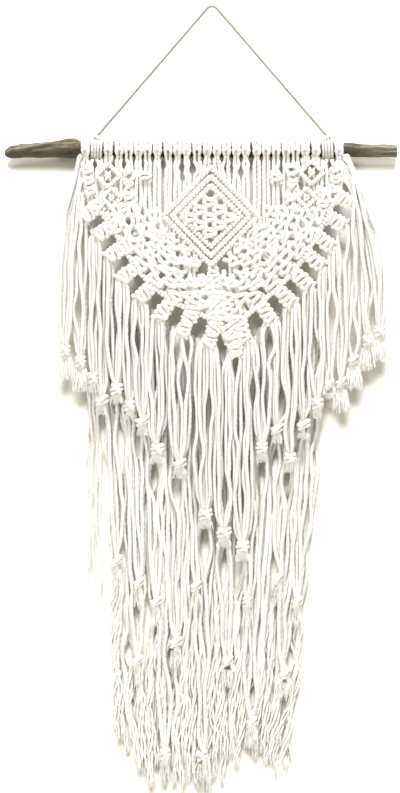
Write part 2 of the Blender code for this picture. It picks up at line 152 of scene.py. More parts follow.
def makeCamera():
    pixel = photo["mmPerPixel"] * mm
    camera = bpy.data.cameras.new("camera")
    camera.sensor_width = photo["sensor"]
    camera.lens = photo["sensor"] * photo["distance"] / (photo["high"] * pixel)
    camera.clip_end = photo["clip"]
    seat = bpy.data.objects.new("camera", camera)
    x, z = (photo["wide"] / 2 - photo["topX"]) * pixel, (photo["topY"] - photo["high"] / 2) * pixel
    seat.location = (x, -photo["distance"], z)
    seat.rotation_euler = (math.pi / 2, 0.0, 0.0)
    scene.collection.objects.link(seat)
    scene.camera = seat


makeCamera()


# cord finishes

cotton = {
    "colours": {  # most of a cord, its warmer stretches, the shade between fibres
        "cottonThreePlyCord": ("#e5e5e2", "#dddbd6", "#c7c5bc"),
        "hangerCottonCord": ("#9a998e", "#8c8b7e", "#767468"),
        # the ties are the hanger's own cord, painted paler as if the light fell full on them
        "tieCottonPaintedFullLight": ("#dad9d1", "#cecdc3", "#b4b2a5"),
    },
    "shader": {"Roughness": 0.88, "Sheen Weight": 0.25, "Sheen Roughness": 0.5, "Specular IOR Level": 0.25},
    "fibre": 0.45,  # mm between fibres, drawn thicker than real so that it shows
    "fibreRun": 9,  # a fibre shows for this many times its thickness
    "ring": 2.5,  # mm, the radius of a 5 mm cord
    "toneSpan": 60.0,  # mm over which a cord's colour drifts
    "toneShift": 40.0, "noise": {"Scale": 1.0, "Detail": 2.0},
    "fibreShade": {"From Min": 0.30, "From Max": 0.55, "To Min": 0.45, "To Max": 0.0},
    "bump": {"Strength": 0.25, "Distance": 0.4 * mm},
}


def newMaterial(name, settings):
    material = bpy.data.materials.new(name)
    material.use_nodes = True
    tree = material.node_tree
    feedShader = partial(feed, tree, tree.nodes["Principled BSDF"])
    feedShader(settings)
    return material, partial(addNode, tree), feedShader


def cottonMaterial(name, lit, warm, groove):
    # soft twisted cotton: matt, a little glow at the edges from loose fibres, fibres running along each ply
    material, add, feedShader = newMaterial(name, cotton["shader"])
    around, along, tone = (
        add("ShaderNodeAttribute", attribute_name=kept).outputs["Fac"]
        for kept in ("roundCord", "alongCord", "cordTone")
    )
    angle = add("ShaderNodeMath", {0: around, 1: math.tau}, operation="MULTIPLY")
    east, north = (add("ShaderNodeMath", {0: angle}, operation=wave) for wave in ("COSINE", "SINE"))
    ring = add("ShaderNodeCombineXYZ", {0: east, 1: north, 2: along})
    perFibre = cotton["ring"] / cotton["fibre"]
    run = (perFibre, perFibre, 1 / (cotton["fibre"] * mm * cotton["fibreRun"]))
    spot = add("ShaderNodeVectorMath", {0: ring, 1: run}, operation="MULTIPLY")
    shifted = add("ShaderNodeMath", {0: tone, 1: cotton["toneShift"]}, operation="MULTIPLY")
    fibres = add(
        "ShaderNodeTexNoise", {"Vector": spot, "W": shifted, **cotton["noise"]}, noise_dimensions="4D"
    )
    gone = add("ShaderNodeMath", {0: along, 1: 1 / (cotton["toneSpan"] * mm)}, operation="MULTIPLY")
    place = add("ShaderNodeCombineXYZ", {0: gone, 1: shifted})
    drift = add("ShaderNodeTexNoise", {"Vector": place, **cotton["noise"]})
    warmth = add("ShaderNodeMath", {0: drift, 1: tone}, operation="ADD")
    faint = add("ShaderNodeMapRange", {"Value": fibres, **cotton["fibreShade"]})
    colour = linear(lit)
    for share, other in ((warmth, warm), (faint, groove)):
        mixed = add("ShaderNodeMix", {"Factor": share, 6: colour, 7: linear(other)}, data_type="RGBA")
        colour = mixed.outputs[2]
    bump = add("ShaderNodeBump", {"Height": fibres, **cotton["bump"]})
    feedShader({"Base Color": colour, "Normal": bump})
    return material


cottonCord, hangerCotton, tieCotton = (
    cottonMaterial(name, *tints) for name, tints in cotton["colours"].items()
)
print("cord finishes made")


# one node tree lays three plies along any line: the section is a soft three-lobed star, turned as it goes

ropes = {  # between two sections, for one turn, and how far the grooves reach in, 1 is not at all
    "hanger": (1.0, 12.0, 0.80), "strand": (2.0, 19.0, 0.86), "tight": (1.6, 16.0, 0.88),
    "front": (2.4, 19.0, 0.86), "frontFray": (3.0, 40.0, 0.70),
    "back": (2.9, 24.0, 0.84), "backPly": (4.0, 30.0, 0.84), "backFray": (4.0, 40.0, 0.70),
}


def ropeTree():
    tree = bpy.data.node_groups.new("laidRope", "GeometryNodeTree")
    face, add = tree.interface, partial(addNode, tree)
    kinds = {
        "Lines": "Geometry", "Step": "Float", "Turn length": "Float", "Groove": "Float",
        "Material": "Material",
    }
    for name, kind in kinds.items():
        face.new_socket(name, in_out="INPUT", socket_type="NodeSocket" + kind)
    face.new_socket("Rope", in_out="OUTPUT", socket_type="NodeSocketGeometry")
    given = add("NodeGroupInput").outputs
    even = add("GeometryNodeResampleCurve", {"Curve": given["Lines"], "Length": given["Step"]}, mode="LENGTH")
    along = add("GeometryNodeSplineParameter").outputs
    turns = add("ShaderNodeMath", {0: along["Length"], 1: given["Turn length"]}, operation="DIVIDE")
    angle = add("ShaderNodeMath", {0: turns, 1: math.tau}, operation="MULTIPLY")
    line = add("GeometryNodeSetCurveTilt", {"Curve": even, "Tilt": angle})
    number = add("GeometryNodeInputIndex")
    chance = add("FunctionNodeRandomValue", {"ID": number, "Seed": 7}, data_type="FLOAT").outputs["Value"]
    perCord = add("GeometryNodeFieldOnDomain", {"Value": chance}, domain="CURVE", data_type="FLOAT")
    star = {"Points": 3, "Inner Radius": given["Groove"], "Outer Radius": 1.0}
    section = add("GeometryNodeCurveStar", star)
    notes = []
    for curve, name, value, domain in (
        (line, "cordTone", perCord, "CURVE"), (None, "alongCord", along["Length"], "POINT"),
        (section, "roundCord", along["Factor"], "POINT"),
    ):
        notes.append(add(
            "GeometryNodeStoreNamedAttribute", {"Geometry": curve or notes[-1], "Name": name, "Value": value},
            data_type="FLOAT", domain=domain,
        ))
    line, section = notes[1:]
    radius = add("GeometryNodeInputRadius")
    swept = {"Curve": line, "Profile Curve": section, "Scale": radius, "Fill Caps": True}
    body = add("GeometryNodeCurveToMesh", swept)
    soft = add("GeometryNodeSetShadeSmooth", {"Geometry": body})
    whole = add("GeometryNodeRealizeInstances", {"Geometry": soft})
    clad = add("GeometryNodeSetMaterial", {"Geometry": whole, "Material": given["Material"]})
    add("NodeGroupOutput", {"Rope": clad})
    return tree


laidRope = ropeTree()


def drawLines(name, paths):
    curve = bpy.data.curves.new(name, "CURVE")
    curve.dimensions = "3D"
    for path in paths:
        rows = np.array(path, float)
        spline = curve.splines.new("POLY")
        spline.points.add(len(rows) - 1)
        spots = np.ones((len(rows), 4))
        spots[:, :3] = rows[:, :3] * mm
        spline.points.foreach_set("co", spots.ravel())
        spline.points.foreach_set("radius", rows[:, 3] * mm)
    lines = bpy.data.objects.new(name + "Lines", curve)
    scene.collection.objects.link(lines)
    return lines


def ropePiece(name, paths, lay, node, material=cottonCord):
    # every line becomes a rope, then the lot becomes one plain mesh that stands for its solid
    lines = drawLines(name, paths)
    laying = lines.modifiers.new("lay", "NODES")
    laying.node_group = laidRope
    step, turn, groove = ropes[lay]
    wanted = {"Step": step * mm, "Turn length": turn * mm, "Groove": groove, "Material": material}
    for socket in laidRope.interface.items_tree:
        if socket.name in wanted:
            laying[socket.identifier] = wanted[socket.name]
    bpy.context.view_layer.update()
    mesh = bpy.data.meshes.new_from_object(lines.evaluated_get(bpy.context.evaluated_depsgraph_get()))
    lines.modifiers.clear()
    bpy.data.objects.remove(lines)
    mesh.name = name
    piece = bpy.data.objects.new(name, mesh)
    scene.collection.objects.link(piece)
    mesh.calc_loop_triangles()
    print(name, len(paths), "cords,", len(mesh.loop_triangles), "triangles")
    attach(piece, "root")
    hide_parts(node)
    return piece


# hanger: the same triangle as the solid, one limp cord held taut over its top

hanger = {
    "radius": 2.0, "bend": 8.5, "footX": 143.75, "step": 11.5, "bendSteps": 6,
    "branchZ": -177.0, "branchRadius": 9.6, "clearance": 0.5,
    "wraps": 3.4, "wrapPitch": 3.7, "wrapSteps": 14, "wrapGap": 0.4, "lift": 1.8, "liftSteps": 5,
    "crossing": ((-3.4, -7.0, 11.5), (0.0, -4.2, 15.0), (3.4, 1.0, 15.4), (4.6, 6.5, 12.0)),
    "crossingRadius": 1.9,
}


def evenly(start, end, step):
    count = max(1, round((end - start).length / step))
    return [start.lerp(end, i / count) for i in range(count + 1)]


def hangerLine():
    radius, bendRadius, footX = hanger["radius"], hanger["bend"], hanger["footX"]
    footZ = hanger["branchZ"] + hanger["branchRadius"] + 3 * radius + 2 * hanger["clearance"]
    centreZ = radius - bendRadius
    reach = math.hypot(footX, centreZ - footZ)
    touch = math.pi / 2 - math.atan2(footX, centreZ - footZ) + math.asin(bendRadius / reach)
    bend = []
    for i in range(hanger["bendSteps"] + 1):
        angle = -touch + 2 * touch * i / hanger["bendSteps"]
        bend.append(Vector((bendRadius * math.sin(angle), 0.0, centreZ + bendRadius * math.cos(angle))))
    left = evenly(Vector((-footX, 0.0, footZ)), bend[0], hanger["step"])
    right = evenly(bend[-1], Vector((footX, 0.0, footZ)), hanger["step"])
    return left[:-1] + bend + right[1:]


def makeHanger():
    route = hangerLine()
    radius, branchZ, turns = hanger["radius"], hanger["branchZ"], hanger["wraps"]
    line = [smoothed([(*spot, radius) for spot in route])]
    cord = ropePiece("hangerCordLaid", line, "hanger", "hanger_cord", hangerCotton)
    length = sum((b - a).length for a, b in zip(route, route[1:])) * mm
    wrapRadius = hanger["branchRadius"] + hanger["wrapGap"] + radius
    for side, name in ((-1, "Left"), (1, "Right")):
        footX = side * hanger["footX"]
        count = round(turns * hanger["wrapSteps"])
        path = [(footX, 0.0, route[0].z, radius)]
        for i in range(1, count + 1):
            angle = math.pi / 2 - math.tau * turns * i / count
            x = footX + side * hanger["wrapPitch"] * turns * (i / count - 0.5)
            out = wrapRadius + hanger["lift"] * math.sin(math.pi * min(1.0, i / hanger["liftSteps"]))
            path.append((x, -out * math.cos(angle), branchZ + out * math.sin(angle), radius))
        over = [
            (footX + side * x, y, branchZ + z, hanger["crossingRadius"]) for x, y, z in hanger["crossing"]
        ]
        lines, node = [smoothed(path, 3), smoothed(over)], "hanger_tie_" + name.lower()
        # the ties take the paler finish, painted as if in full light
        ropePiece("hangerTie" + name + "Laid", lines, "hanger", node, tieCotton)


makeHanger()


# branch: worn driftwood, its surface drawn in by long cracks and dents

branch = {
    "stations": (  # x, z, radius
        (-259.0, -181.5, 2.6), (-257.0, -181.0, 5.0), (-252.0, -180.0, 7.2), (-240.0, -178.6, 8.8),
        (-214.0, -177.5, 9.6), (-192.0, -176.4, 10.8), (-182.0, -175.4, 12.1), (-170.0, -175.2, 12.5),
        (-163.0, -177.0, 9.7), (-100.0, -177.0, 9.6), (100.0, -177.0, 9.6), (162.0, -177.0, 9.4),
        (168.0, -177.4, 9.3), (180.0, -177.8, 8.7), (188.0, -178.2, 8.1), (208.0, -178.5, 8.2),
        (231.0, -178.8, 7.8),
    ),
    "ringStep": 1.5, "sides": 44, "most": 0.9,  # how far it may swell
    "crack": (55, 2.6, 0), "dent": (16, 0.9, 7), "flat": (34, 0.7, 31),  # length, turns round, which pattern
    "crackWidth": 0.07, "crackDeep": 0.88, "crackShade": 0.75, "dentDeep": 0.63, "flatDeep": 0.9,
    "colours": {  # bleached fibres, plain wood, brown patches, the darkest grain and painted shade in the cracks
        "weatheredDriftwood": ("#a0968a", "#6f6555", "#423a2c", "#251f14"),
        "sawnDriftwoodEnd": ("#a89c86", "#8c806b", "#6b604d", "#4a4234"),
    },
    "rightTint": "#bdb5a6",
    "shader": {"Roughness": 0.82, "Specular IOR Level": 0.3},
    "noises": (  # mm, or mm along and across the grain
        ((22,), {"Detail": 3.0}), ((7,), {"Detail": 4.0, "Roughness": 0.65}),
        ((70, 3.5), {"Detail": 6.0, "Roughness": 0.6}), ((14, 0.8), {"Detail": 3.0}),
    ),
    "ramp": (0.34, 0.43, 0.53, 0.68), "bump": {"Strength": 0.6, "Distance": 0.7 * mm},
    "shares": (  # from a value, to a value, share there and there
        (0.35, 0.7, 0.0, 0.55),  # worn patches
        (0.05, 0.75, 0.95, 0.0),  # painted shade on the underside, by the surface's tilt and the grain
        (0.180, 0.196, 0.95, 0.0),  # knobby ends beside the heads, in metres from the middle
        (0.38, 0.56, 1.0, 0.35),  # stains there
        (0.178, 0.200, 0.0, 0.12),  # bleached right end, in metres
        (0.38, 0.52, 0.1, 1.0),  # its streaks
    ),
}


def driftwoodMaterial(name, pale, middle, dark, crackDark):
    # weathered softwood: grey outer fibres, brown where the skin is worn off, painted shade on the underside
    # and in the cracks
    material, add, feedShader = newMaterial(name, branch["shader"])
    place = add("ShaderNodeTexCoord").outputs["Object"]
    noises = []
    for size, more in branch["noises"]:
        scale = [1 / (length * mm) for length in size]
        where = {"Vector": place, "Scale": scale[0]}
        if len(size) > 1:
            stretched = add("ShaderNodeMapping", {"Vector": place, "Scale": (scale[0], scale[1], scale[1])})
            where = {"Vector": stretched, "Scale": 1.0}
        noises.append(add("ShaderNodeTexNoise", {**where, **more}))
    patch, mottle, grain, hairs = noises
    x = add("ShaderNodeSeparateXYZ", {0: place}).outputs[0]
    # the underside is darkened by the normal's tilt: painted shade
    facing = add("ShaderNodeNewGeometry").outputs["Normal"]
    up = add("ShaderNodeSeparateXYZ", {0: facing}).outputs[2]
    tilted = add("ShaderNodeMath", {0: up, 1: grain}, operation="ADD")
    fromMiddle = add("ShaderNodeMath", {0: x}, operation="ABSOLUTE")
    shares = []
    fields = (patch, tilted, fromMiddle, mottle, x, grain)
    for value, (low, high, first, last) in zip(fields, branch["shares"]):
        span = {"From Min": low, "From Max": high, "To Min": first, "To Max": last}
        shares.append(add("ShaderNodeMapRange", {"Value": value, **span}))
    worn, under, knobby, stained, toTheRight, streaked = shares
    stain, bleach = (
        add("ShaderNodeMath", {0: one, 1: other}, operation="MULTIPLY")
        for one, other in ((knobby, stained), (toTheRight, streaked))
    )
    ramp = add("ShaderNodeValToRGB", {"Fac": grain})
    marks = ramp.color_ramp.elements
    for position in branch["ramp"][1:3]:
        marks.new(position)
    for mark, position, tint in zip(marks, branch["ramp"], (crackDark, dark, middle, pale)):
        mark.position, mark.color = position, linear(tint)
    # painted shade in the cracks
    crackShadeShare = add("ShaderNodeAttribute", attribute_name="paintedCrackShade").outputs["Fac"]
    colour = ramp.outputs[0]
    tints = ((worn, dark), (under, dark), (stain, dark), (bleach, branch["rightTint"]), (crackShadeShare, crackDark))
    for share, tint in tints:
        mixed = add("ShaderNodeMix", {"Factor": share, 6: colour, 7: linear(tint)}, data_type="RGBA")
        colour = mixed.outputs[2]
    both = add("ShaderNodeMath", {0: hairs, 1: grain}, operation="ADD")
    bump = add("ShaderNodeBump", {"Height": both, **branch["bump"]})
    feedShader({"Base Color": colour, "Normal": bump})
    return material


def barkNoise(pattern, x, east, north):
    long, around, shift = branch[pattern]
    return noise.noise(Vector((x / long, east * around + shift, north * around)))


def makeBranch():
    table = np.array(branch["stations"])
    places = np.arange(table[0, 0], table[-1, 0] + branch["ringStep"] / 2, branch["ringStep"])
    places[-1] = table[-1, 0]
    sides, rings = branch["sides"], len(places)
    points, crackShadeShares, faces = [], [], []
    for x in places:
        z, radius = (np.interp(x, table[:, 0], table[:, column]) for column in (1, 2))
        for j in range(sides):
            angle = math.tau * j / sides
            east, north = math.cos(angle), math.sin(angle)
            crack, dent, flat = (barkNoise(pattern, x, east, north) for pattern in ("crack", "dent", "flat"))
            crack = max(0.0, 1.0 - abs(crack) / branch["crackWidth"]) * min(1.0, radius / 9)
            out = radius - branch["crackDeep"] * crack + branch["dentDeep"] * dent
            out = min(out + branch["flatDeep"] * flat * min(1.0, radius / 8), radius + branch["most"])
            points.append((x * mm, out * east * mm, (z + out * north) * mm))
            # painted shade in the cracks, stored for the finish
            crackShadeShares.append(crack * branch["crackShade"])
    for i in range(rings - 1):
        for j in range(sides):
            a, b = i * sides + j, i * sides + (j + 1) % sides
            faces.append((a, b, b + sides, a + sides))
    for end, x in ((0, places[0]), (rings - 1, places[-1])):
        hub = len(points)
        points.append((x * mm, 0.0, np.interp(x, table[:, 0], table[:, 1]) * mm))
        crackShadeShares.append(0.0)
        for j in range(sides):
            a, b = end * sides + j, end * sides + (j + 1) % sides
            faces.append((hub, b, a) if end == 0 else (hub, a, b))
    mesh = bpy.data.meshes.new("branchDriftwood")
    mesh.from_pydata(points, [], faces)
    kept = mesh.attributes.new("paintedCrackShade", "FLOAT", "POINT")
    kept.data.foreach_set("value", np.array(crackShadeShares, np.float32))
    mesh.shade_smooth()
    for name, colours in branch["colours"].items():
        mesh.materials.append(driftwoodMaterial(name, *colours))
    for face in mesh.polygons[-sides:]:
        face.material_index = 1
        face.use_smooth = False
    piece = bpy.data.objects.new("branchDriftwood", mesh)
    scene.collection.objects.link(piece)
    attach(piece, "root")
    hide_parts("branch")
    print("branch made")


makeBranch()


# knots and hitches as lines of cord

# upper half of each cord, in shares of half the width, of the lift and of half the height
squareKnotRoute = {
    "front": ((-0.95, -0.3, 0.85), (-0.4, -1.0, 0.52), (0.45, -1.0, 0.40), (0.98, -0.6, 0.16)),
    "behind": ((0.95, 0.1, 0.85), (0.2, 0.9, 0.5), (-0.5, 0.7, 0.3), (-1.02, -0.9, 0.12)),
    "tail": 1.35, "lift": 1.05, "splay": 0.6, "wideSplay": 1.15,
}
sinnetShape = {"knotLength": 12.0, "tall": 0.92, "uneven": 0.06, "waist": 0.12, "tilt": 0.12}


def hitchBar(corners, make, depth, closed=False, perTurn=8):
    # double half hitches side by side: a cord wound round the one that carries it
    spots = [Vector((x, depth, z)) for x, z in corners]
    if closed:
        spots.append(spots[0])
    lengths = [(b - a).length for a, b in zip(spots, spots[1:])]
    turns = max(1, round(sum(lengths) / make["pitch"]))
    out = make["half"] - make["wrap"]
    wound = []
    for i in range(turns * perTurn + 1):
        share = i / (turns * perTurn)
        gone = share * sum(lengths)
        for start, end, length in zip(spots, spots[1:], lengths):
            if gone <= length:
                break
            gone -= length
        else:
            gone = length
        along, angle = (end - start).normalized(), math.tau * turns * share
        front = Vector((0, -1, 0))
        place = start + along * (gone + make["slant"] * make["pitch"] * math.cos(angle))
        place += along.cross(front) * out * math.cos(angle) + front * out * math.sin(angle)
        wound.append((*place, make["wrap"]))
    return [wound, [(*spot, make["core"]) for spot in spots]]


def squareKnot(x, z, width, height, thick, depth, lean=0.0, flip=1, splay=squareKnotRoute["splay"]):
    # the left cord crosses in front, turns at the right and comes back, the right one does the same behind
    w, h, lift = width / 2 - thick, height / 2, thick * squareKnotRoute["lift"]
    c, s = math.cos(lean), math.sin(lean)
    cords = []
    for side, start in (("front", -splay), ("behind", splay)):
        upper = [(start, 0.0, squareKnotRoute["tail"]), *squareKnotRoute[side]]
        path = []
        for px, py, pz in upper + [(px, py, -pz) for px, py, pz in upper[::-1]]:
            px, pz = px * w * flip, pz * h
            path.append((x + px * c - pz * s, depth + py * lift, z + px * s + pz * c, thick))
        cords.append(smoothed(path))
    return cords


def sinnet(start, end, width, thick, depth):
    # square knots one after another from start to end, a little uneven
    (x0, z0), (x1, z1) = start, end
    length = math.hypot(x1 - x0, z1 - z0)
    count = max(1, round(length / sinnetShape["knotLength"]))
    lean = math.atan2(x1 - x0, z0 - z1)
    lines = []
    for i in range(count):
        share = (i + 0.5) / count
        uneven = sinnetShape["uneven"] * math.sin(i * 2.1 + x0)
        swell = uneven + sinnetShape["waist"] * math.cos(math.tau * share)
        tilt = sinnetShape["tilt"] * math.sin(i * 3.3 + x0)
        lines += squareKnot(
            x0 + (x1 - x0) * share, z0 + (z1 - z0) * share, width * (1.0 + swell),
            length / count * sinnetShape["tall"], thick, depth, lean + tilt, 1 if i % 2 else -1,
            squareKnotRoute["wideSplay"],
        )
    return lines


# heading: each cord is folded in half and hitched over the branch, its two ends hang down as strands

heads = {
    "pitch": 12.3, "count": 22, "outer": (-157.5, 157.5), "jitter": 0.8,
    "wideGaps": (-135.5, -123.0, -28.0, -16.0, 45.0, 106.0, 119.0), "push": 1.1, "pushReach": 0.8,
    "pinchGap": 1.6, "pinchUneven": (0.8, 1.7),
    "wrap": (  # angle round the branch, aside by shares of the pinch and of a quarter pitch, out, radius
        (325, 1.0, 0.0, 4.3, 2.337), (345, 1.15, 0.0, 3.9, 2.85), (20, 0.0, 1.0, 3.1, 3.4),
        (55, 0.0, 1.0, 3.1, 3.4), (90, 0.0, 1.0, 3.1, 3.4), (135, 0.0, 1.0, 3.1, 2.85),
        (180, 0.0, 1.0, 3.1, 2.85), (225, 0.0, 1.0, 3.1, 2.85), (270, 0.0, 0.85, 2.5, 2.2),
        (300, 0.0, 0.70, 2.7, 2.0), (325, 0.0, 0.72, 4.1, 2.1), (346, 0.0, 1.15, 6.7, 2.6),
        (358, 0.0, 0.9, 7.4, 2.8),
    ),
    "neck": ((1.05, 0.0, 13.0, 2.28), (1.0, -1.4, 9.5, 2.28)),  # share of the pinch, forward, below, radius
    "radius": 2.85, "strandGap": 2.85, "strandY": -11.6, "straightTo": 20.0,
    "swayAt": (1.0, 0.8, 0.6, 0.42), "sway": 0.8, "swayDepth": 0.6,
    "tieStrands": ((-149.0, -1.0), (-143.5, 0.0), (-137.5, 3.0), (137.5, -2.0), (143.5, 0.0), (149.0, 1.0)),
    "tieRoute": ((8.0, 5.0, 2.6), (3.0, 0.0, 2.6), (-4.0, -0.5, 2.6), (-10.0, -5.0, 2.8)),  # y, z, radius
    "tieTop": -202.0, "tieRadius": 2.8,
}
smallGaps = (  # x, z, radius, right through the panel
    (-144.5, -197.0, 1.3), (-108.8, -198.0, 1.4), (-101.6, -210.5, 1.7), (-83.8, -198.0, 1.2),
    (-59.6, -197.0, 1.2), (-36.4, -200.7, 2.2), (-22.1, -202.5, 2.8), (-35.5, -213.0, 1.7),
    (-139.5, -226.0, 1.6), (-112.4, -223.5, 1.8), (-159.6, -249.0, 2.2), (-87.4, -258.8, 1.5),
    (-105.2, -268.0, 2.0), (-96.3, -284.0, 2.0), (-66.0, -275.0, 1.3), (-42.0, -306.5, 2.0),
    (-79.3, -290.0, 1.2), (-69.4, -315.6, 1.8), (-60.0, -313.0, 1.2), (-39.5, -325.2, 1.4),
    (-61.3, -333.8, 1.4), (-35.3, -353.0, 1.8), (-7.5, -361.5, 1.5), (27.8, -352.0, 1.5),
    (48.0, -330.6, 1.8), (35.3, -326.3, 1.2), (55.0, -337.5, 1.2), (60.0, -352.0, 1.2), (64.0, -316.0, 1.7),
    (71.0, -309.5, 1.3), (89.6, -313.5, 1.3), (39.5, -303.8, 1.8), (17.0, -394.6, 1.4), (32.0, -403.0, 1.6),
    (59.0, -281.0, 1.6), (99.0, -289.0, 1.3), (119.0, -264.0, 1.4), (103.0, -268.0, 1.4),
    (113.5, -273.0, 1.8), (-130.5, -238.5, 1.3), (-119.5, -238.5, 1.3), (112.0, -238.5, 1.5),
    (123.0, -238.5, 1.5), (117.5, -245.0, 1.2), (-125.0, -231.5, 1.1), (20.5, -202.5, 2.4),
    (36.0, -207.0, 1.4), (87.5, -206.0, 1.6), (100.0, -203.0, 1.8), (108.0, -222.5, 1.8),
    (139.0, -222.0, 1.7), (151.0, -238.0, 1.5), (146.0, -198.0, 1.5), (75.0, -298.0, 1.2),
)
diamond = {
    "bars": ((59.0, 61.0), (48.2, 49.6), (37.4, 38.2)), "centre": (-1.5, -261.0), "depth": -14.2,
    "make": {"half": 4.1, "wrap": 2.45, "core": 1.8, "pitch": 4.7, "slant": 0.20},
}
smallDiamonds = {
    "rings": (  # x, z, corner, size of the knot inside
        (-129.5, -211.0, 14.5, 9.5), (124.0, -207.0, 14.5, 9.5), (-125.0, -238.5, 12.0, 8.0),
        (117.5, -238.5, 12.0, 8.0),
    ),
    "make": {"half": 3.5, "wrap": 2.1, "core": 1.5, "pitch": 4.2, "slant": 0.20}, "depth": -15.5,
    "knotTall": 0.9, "knotThick": 0.21,
}
belt = {
    "left": (  # inner x z, outer x z, edge x z
        (-106.0, -186.0, -152.0, -186.0, -166.0, -186.0), (-106.0, -240.0, -144.0, -249.0, -161.0, -265.0),
        (-96.0, -267.5, -125.0, -272.5, -145.0, -287.5), (-82.5, -290.0, -111.0, -299.0, -131.0, -314.0),
        (-70.0, -306.0, -95.0, -325.0, -115.0, -341.0), (-52.5, -322.5, -75.0, -347.5, -92.5, -366.0),
        (-34.0, -339.0, -51.0, -366.0, -67.5, -390.0), (-16.0, -351.0, -24.0, -379.0, -39.0, -410.0),
        (-1.0, -362.0, 6.0, -392.5, -6.0, -422.5),
    ),
    "right": (
        (106.0, -186.0, 155.0, -186.0, 167.0, -186.0), (110.0, -235.0, 154.0, -235.0, 175.0, -246.0),
        (106.0, -257.5, 144.0, -261.0, 165.0, -274.0), (97.5, -277.5, 130.0, -285.0, 151.0, -301.0),
        (84.0, -296.0, 117.5, -307.5, 139.0, -325.0), (66.0, -311.0, 101.0, -331.0, 122.5, -350.0),
        (49.0, -325.0, 81.0, -351.0, 101.0, -371.0), (32.5, -339.0, 60.0, -370.0, 75.0, -392.5),
        (17.5, -352.0, 35.0, -392.5, 42.0, -419.0),
    ),
    "tip": {"inner": (8.0, -368.0), "outer": (27.0, -417.0), "edge": (31.0, -437.0)},
    "bar": {"half": 4.2, "wrap": 2.5, "core": 1.8, "pitch": 4.9, "slant": 0.20}, "barDepth": -14.2,
    "bunchWidth": 19.5, "bunchRope": 3.2, "bunchDepth": -13.6, "cornerZ": -256.0,
    "knotLength": 17.0, "knotRope": 3.2, "knotShare": 0.88, "knotWidths": (15.0, 25.0),
    "knotTall": 0.84, "depth": -13.0,
    "lastShare": 0.95, "spare": 4.0, "spreadWidth": (0.93, 1.05), "spreadTall": (0.94, 1.06),
    "aside": 1.0, "forward": 0.6, "tilt": 0.10, "carriers": (-3, -1, 1, 3), "carrierSteps": 16,
}
carrier = {"depth": -11.2, "radius": 2.5, "apart": 1.05}


def beltLine(line):
    column = {"inner": 0, "outer": 2, "edge": 4}[line]
    left, right = ([(row[column], row[column + 1]) for row in belt[side]] for side in ("left", "right"))
    return left + [belt["tip"][line]] + right[::-1]


innerLine, outerLine, edgeLine = (beltLine(line) for line in ("inner", "outer", "edge"))


def barAt(x):
    return lineAt(outerLine[1:-1], x) or belt["cornerZ"]


def strandEnd(x):
    # where a strand that hangs from the heading goes behind a bar
    centreX, centreZ = diamond["centre"]
    halfWidth, halfHeight = diamond["bars"][0]
    share = 1.0 - abs(x - centreX) / halfWidth
    if share > 0.0:
        return centreZ + halfHeight * share
    for smallX, smallZ, corner, _ in smallDiamonds["rings"]:
        if abs(x - smallX) < corner:
            return smallZ + corner - abs(x - smallX)
    firstBunches = (belt["left"][1][4:6], belt["left"][1][2:4], belt["right"][1][2:4], belt["right"][1][4:6])
    return lineAt(innerLine[1:-1], x) or lineAt(outerLine[1:-1], x) or lineAt(firstBunches, x)


def headLine(x, rng):
    branchZ, strandY = hanger["branchZ"], heads["strandY"]
    even, pinch = heads["pitch"] / 4, heads["pinchGap"] * rng.uniform(*heads["pinchUneven"])
    half = []
    for angle, byPinch, byPitch, out, thick in heads["wrap"]:
        turn, reach = math.radians(angle), hanger["branchRadius"] + out
        aside = pinch * byPinch + even * byPitch
        half.append((aside, -reach * math.cos(turn), branchZ + reach * math.sin(turn), thick))
    strands = []
    for sign in (-1, 1):
        strandX = x + sign * heads["strandGap"]
        drop = branchZ - strandEnd(strandX)
        hang = []
        for share in heads["swayAt"]:
            sway = rng.uniform(-heads["sway"], heads["sway"]) * (share < 1.0)
            y = strandY + rng.uniform(-heads["swayDepth"], heads["swayDepth"])
            hang.append((strandX + sway, y, branchZ - drop * share, heads["radius"]))
        hang.append((strandX, strandY, branchZ - heads["straightTo"], heads["radius"]))
        for byPinch, forward, below, thick in heads["neck"]:
            hang.append((x + sign * pinch * byPinch, strandY + forward, branchZ - below, thick))
        strands.append(hang)
    left, right = ([(x + sign * aside, y, z, thick) for aside, y, z, thick in half] for sign in (-1, 1))
    return smoothed(strands[0] + left + right[::-1] + strands[1][::-1])


def makeHeads():
    rng = random.Random(11)
    places = [(i - (heads["count"] - 1) / 2) * heads["pitch"] for i in range(heads["count"])]
    lines = []
    for x in (*places, *heads["outer"]):
        near = [x - gap for gap in heads["wideGaps"] if abs(x - gap) < heads["pitch"] * heads["pushReach"]]
        push = sum(math.copysign(heads["push"], side) for side in near)
        lines.append(headLine(x + push + rng.uniform(-heads["jitter"], heads["jitter"]), rng))
    under = hanger["branchZ"] - hanger["branchRadius"] - heads["radius"]
    for x, lean in heads["tieStrands"]:
        path = [(x, y, under + z, thick) for y, z, thick in heads["tieRoute"]]
        for endX, endZ in ((x, heads["tieTop"]), (x + lean, barAt(x + lean))):
            path.append((endX, heads["strandY"], endZ, heads["tieRadius"]))
        lines.append(smoothed(path))
    ropePiece("panelHeadsAndStrands", list(parted(lines, smallGaps)), "strand", "panel")


makeHeads()


# diamond: three hitched bars round a net of square knots

net = {
    "centre": (-2.5, -263.0), "stepX": 12.0, "stepZ": 9.4, "lines": (-1, 0, 1),
    "cord": 2.2, "depth": -12.0, "crossing": 0.5, "apart": 0.9,
    "rows": 2, "knot": (20.5, 14.6), "knotRope": 3.4, "knotDepth": -12.6,
}


def diamondCorners(centre, halfWidth, halfHeight):
    x, z = centre
    return [(x, z + halfHeight), (x + halfWidth, z), (x, z - halfHeight), (x - halfWidth, z)]


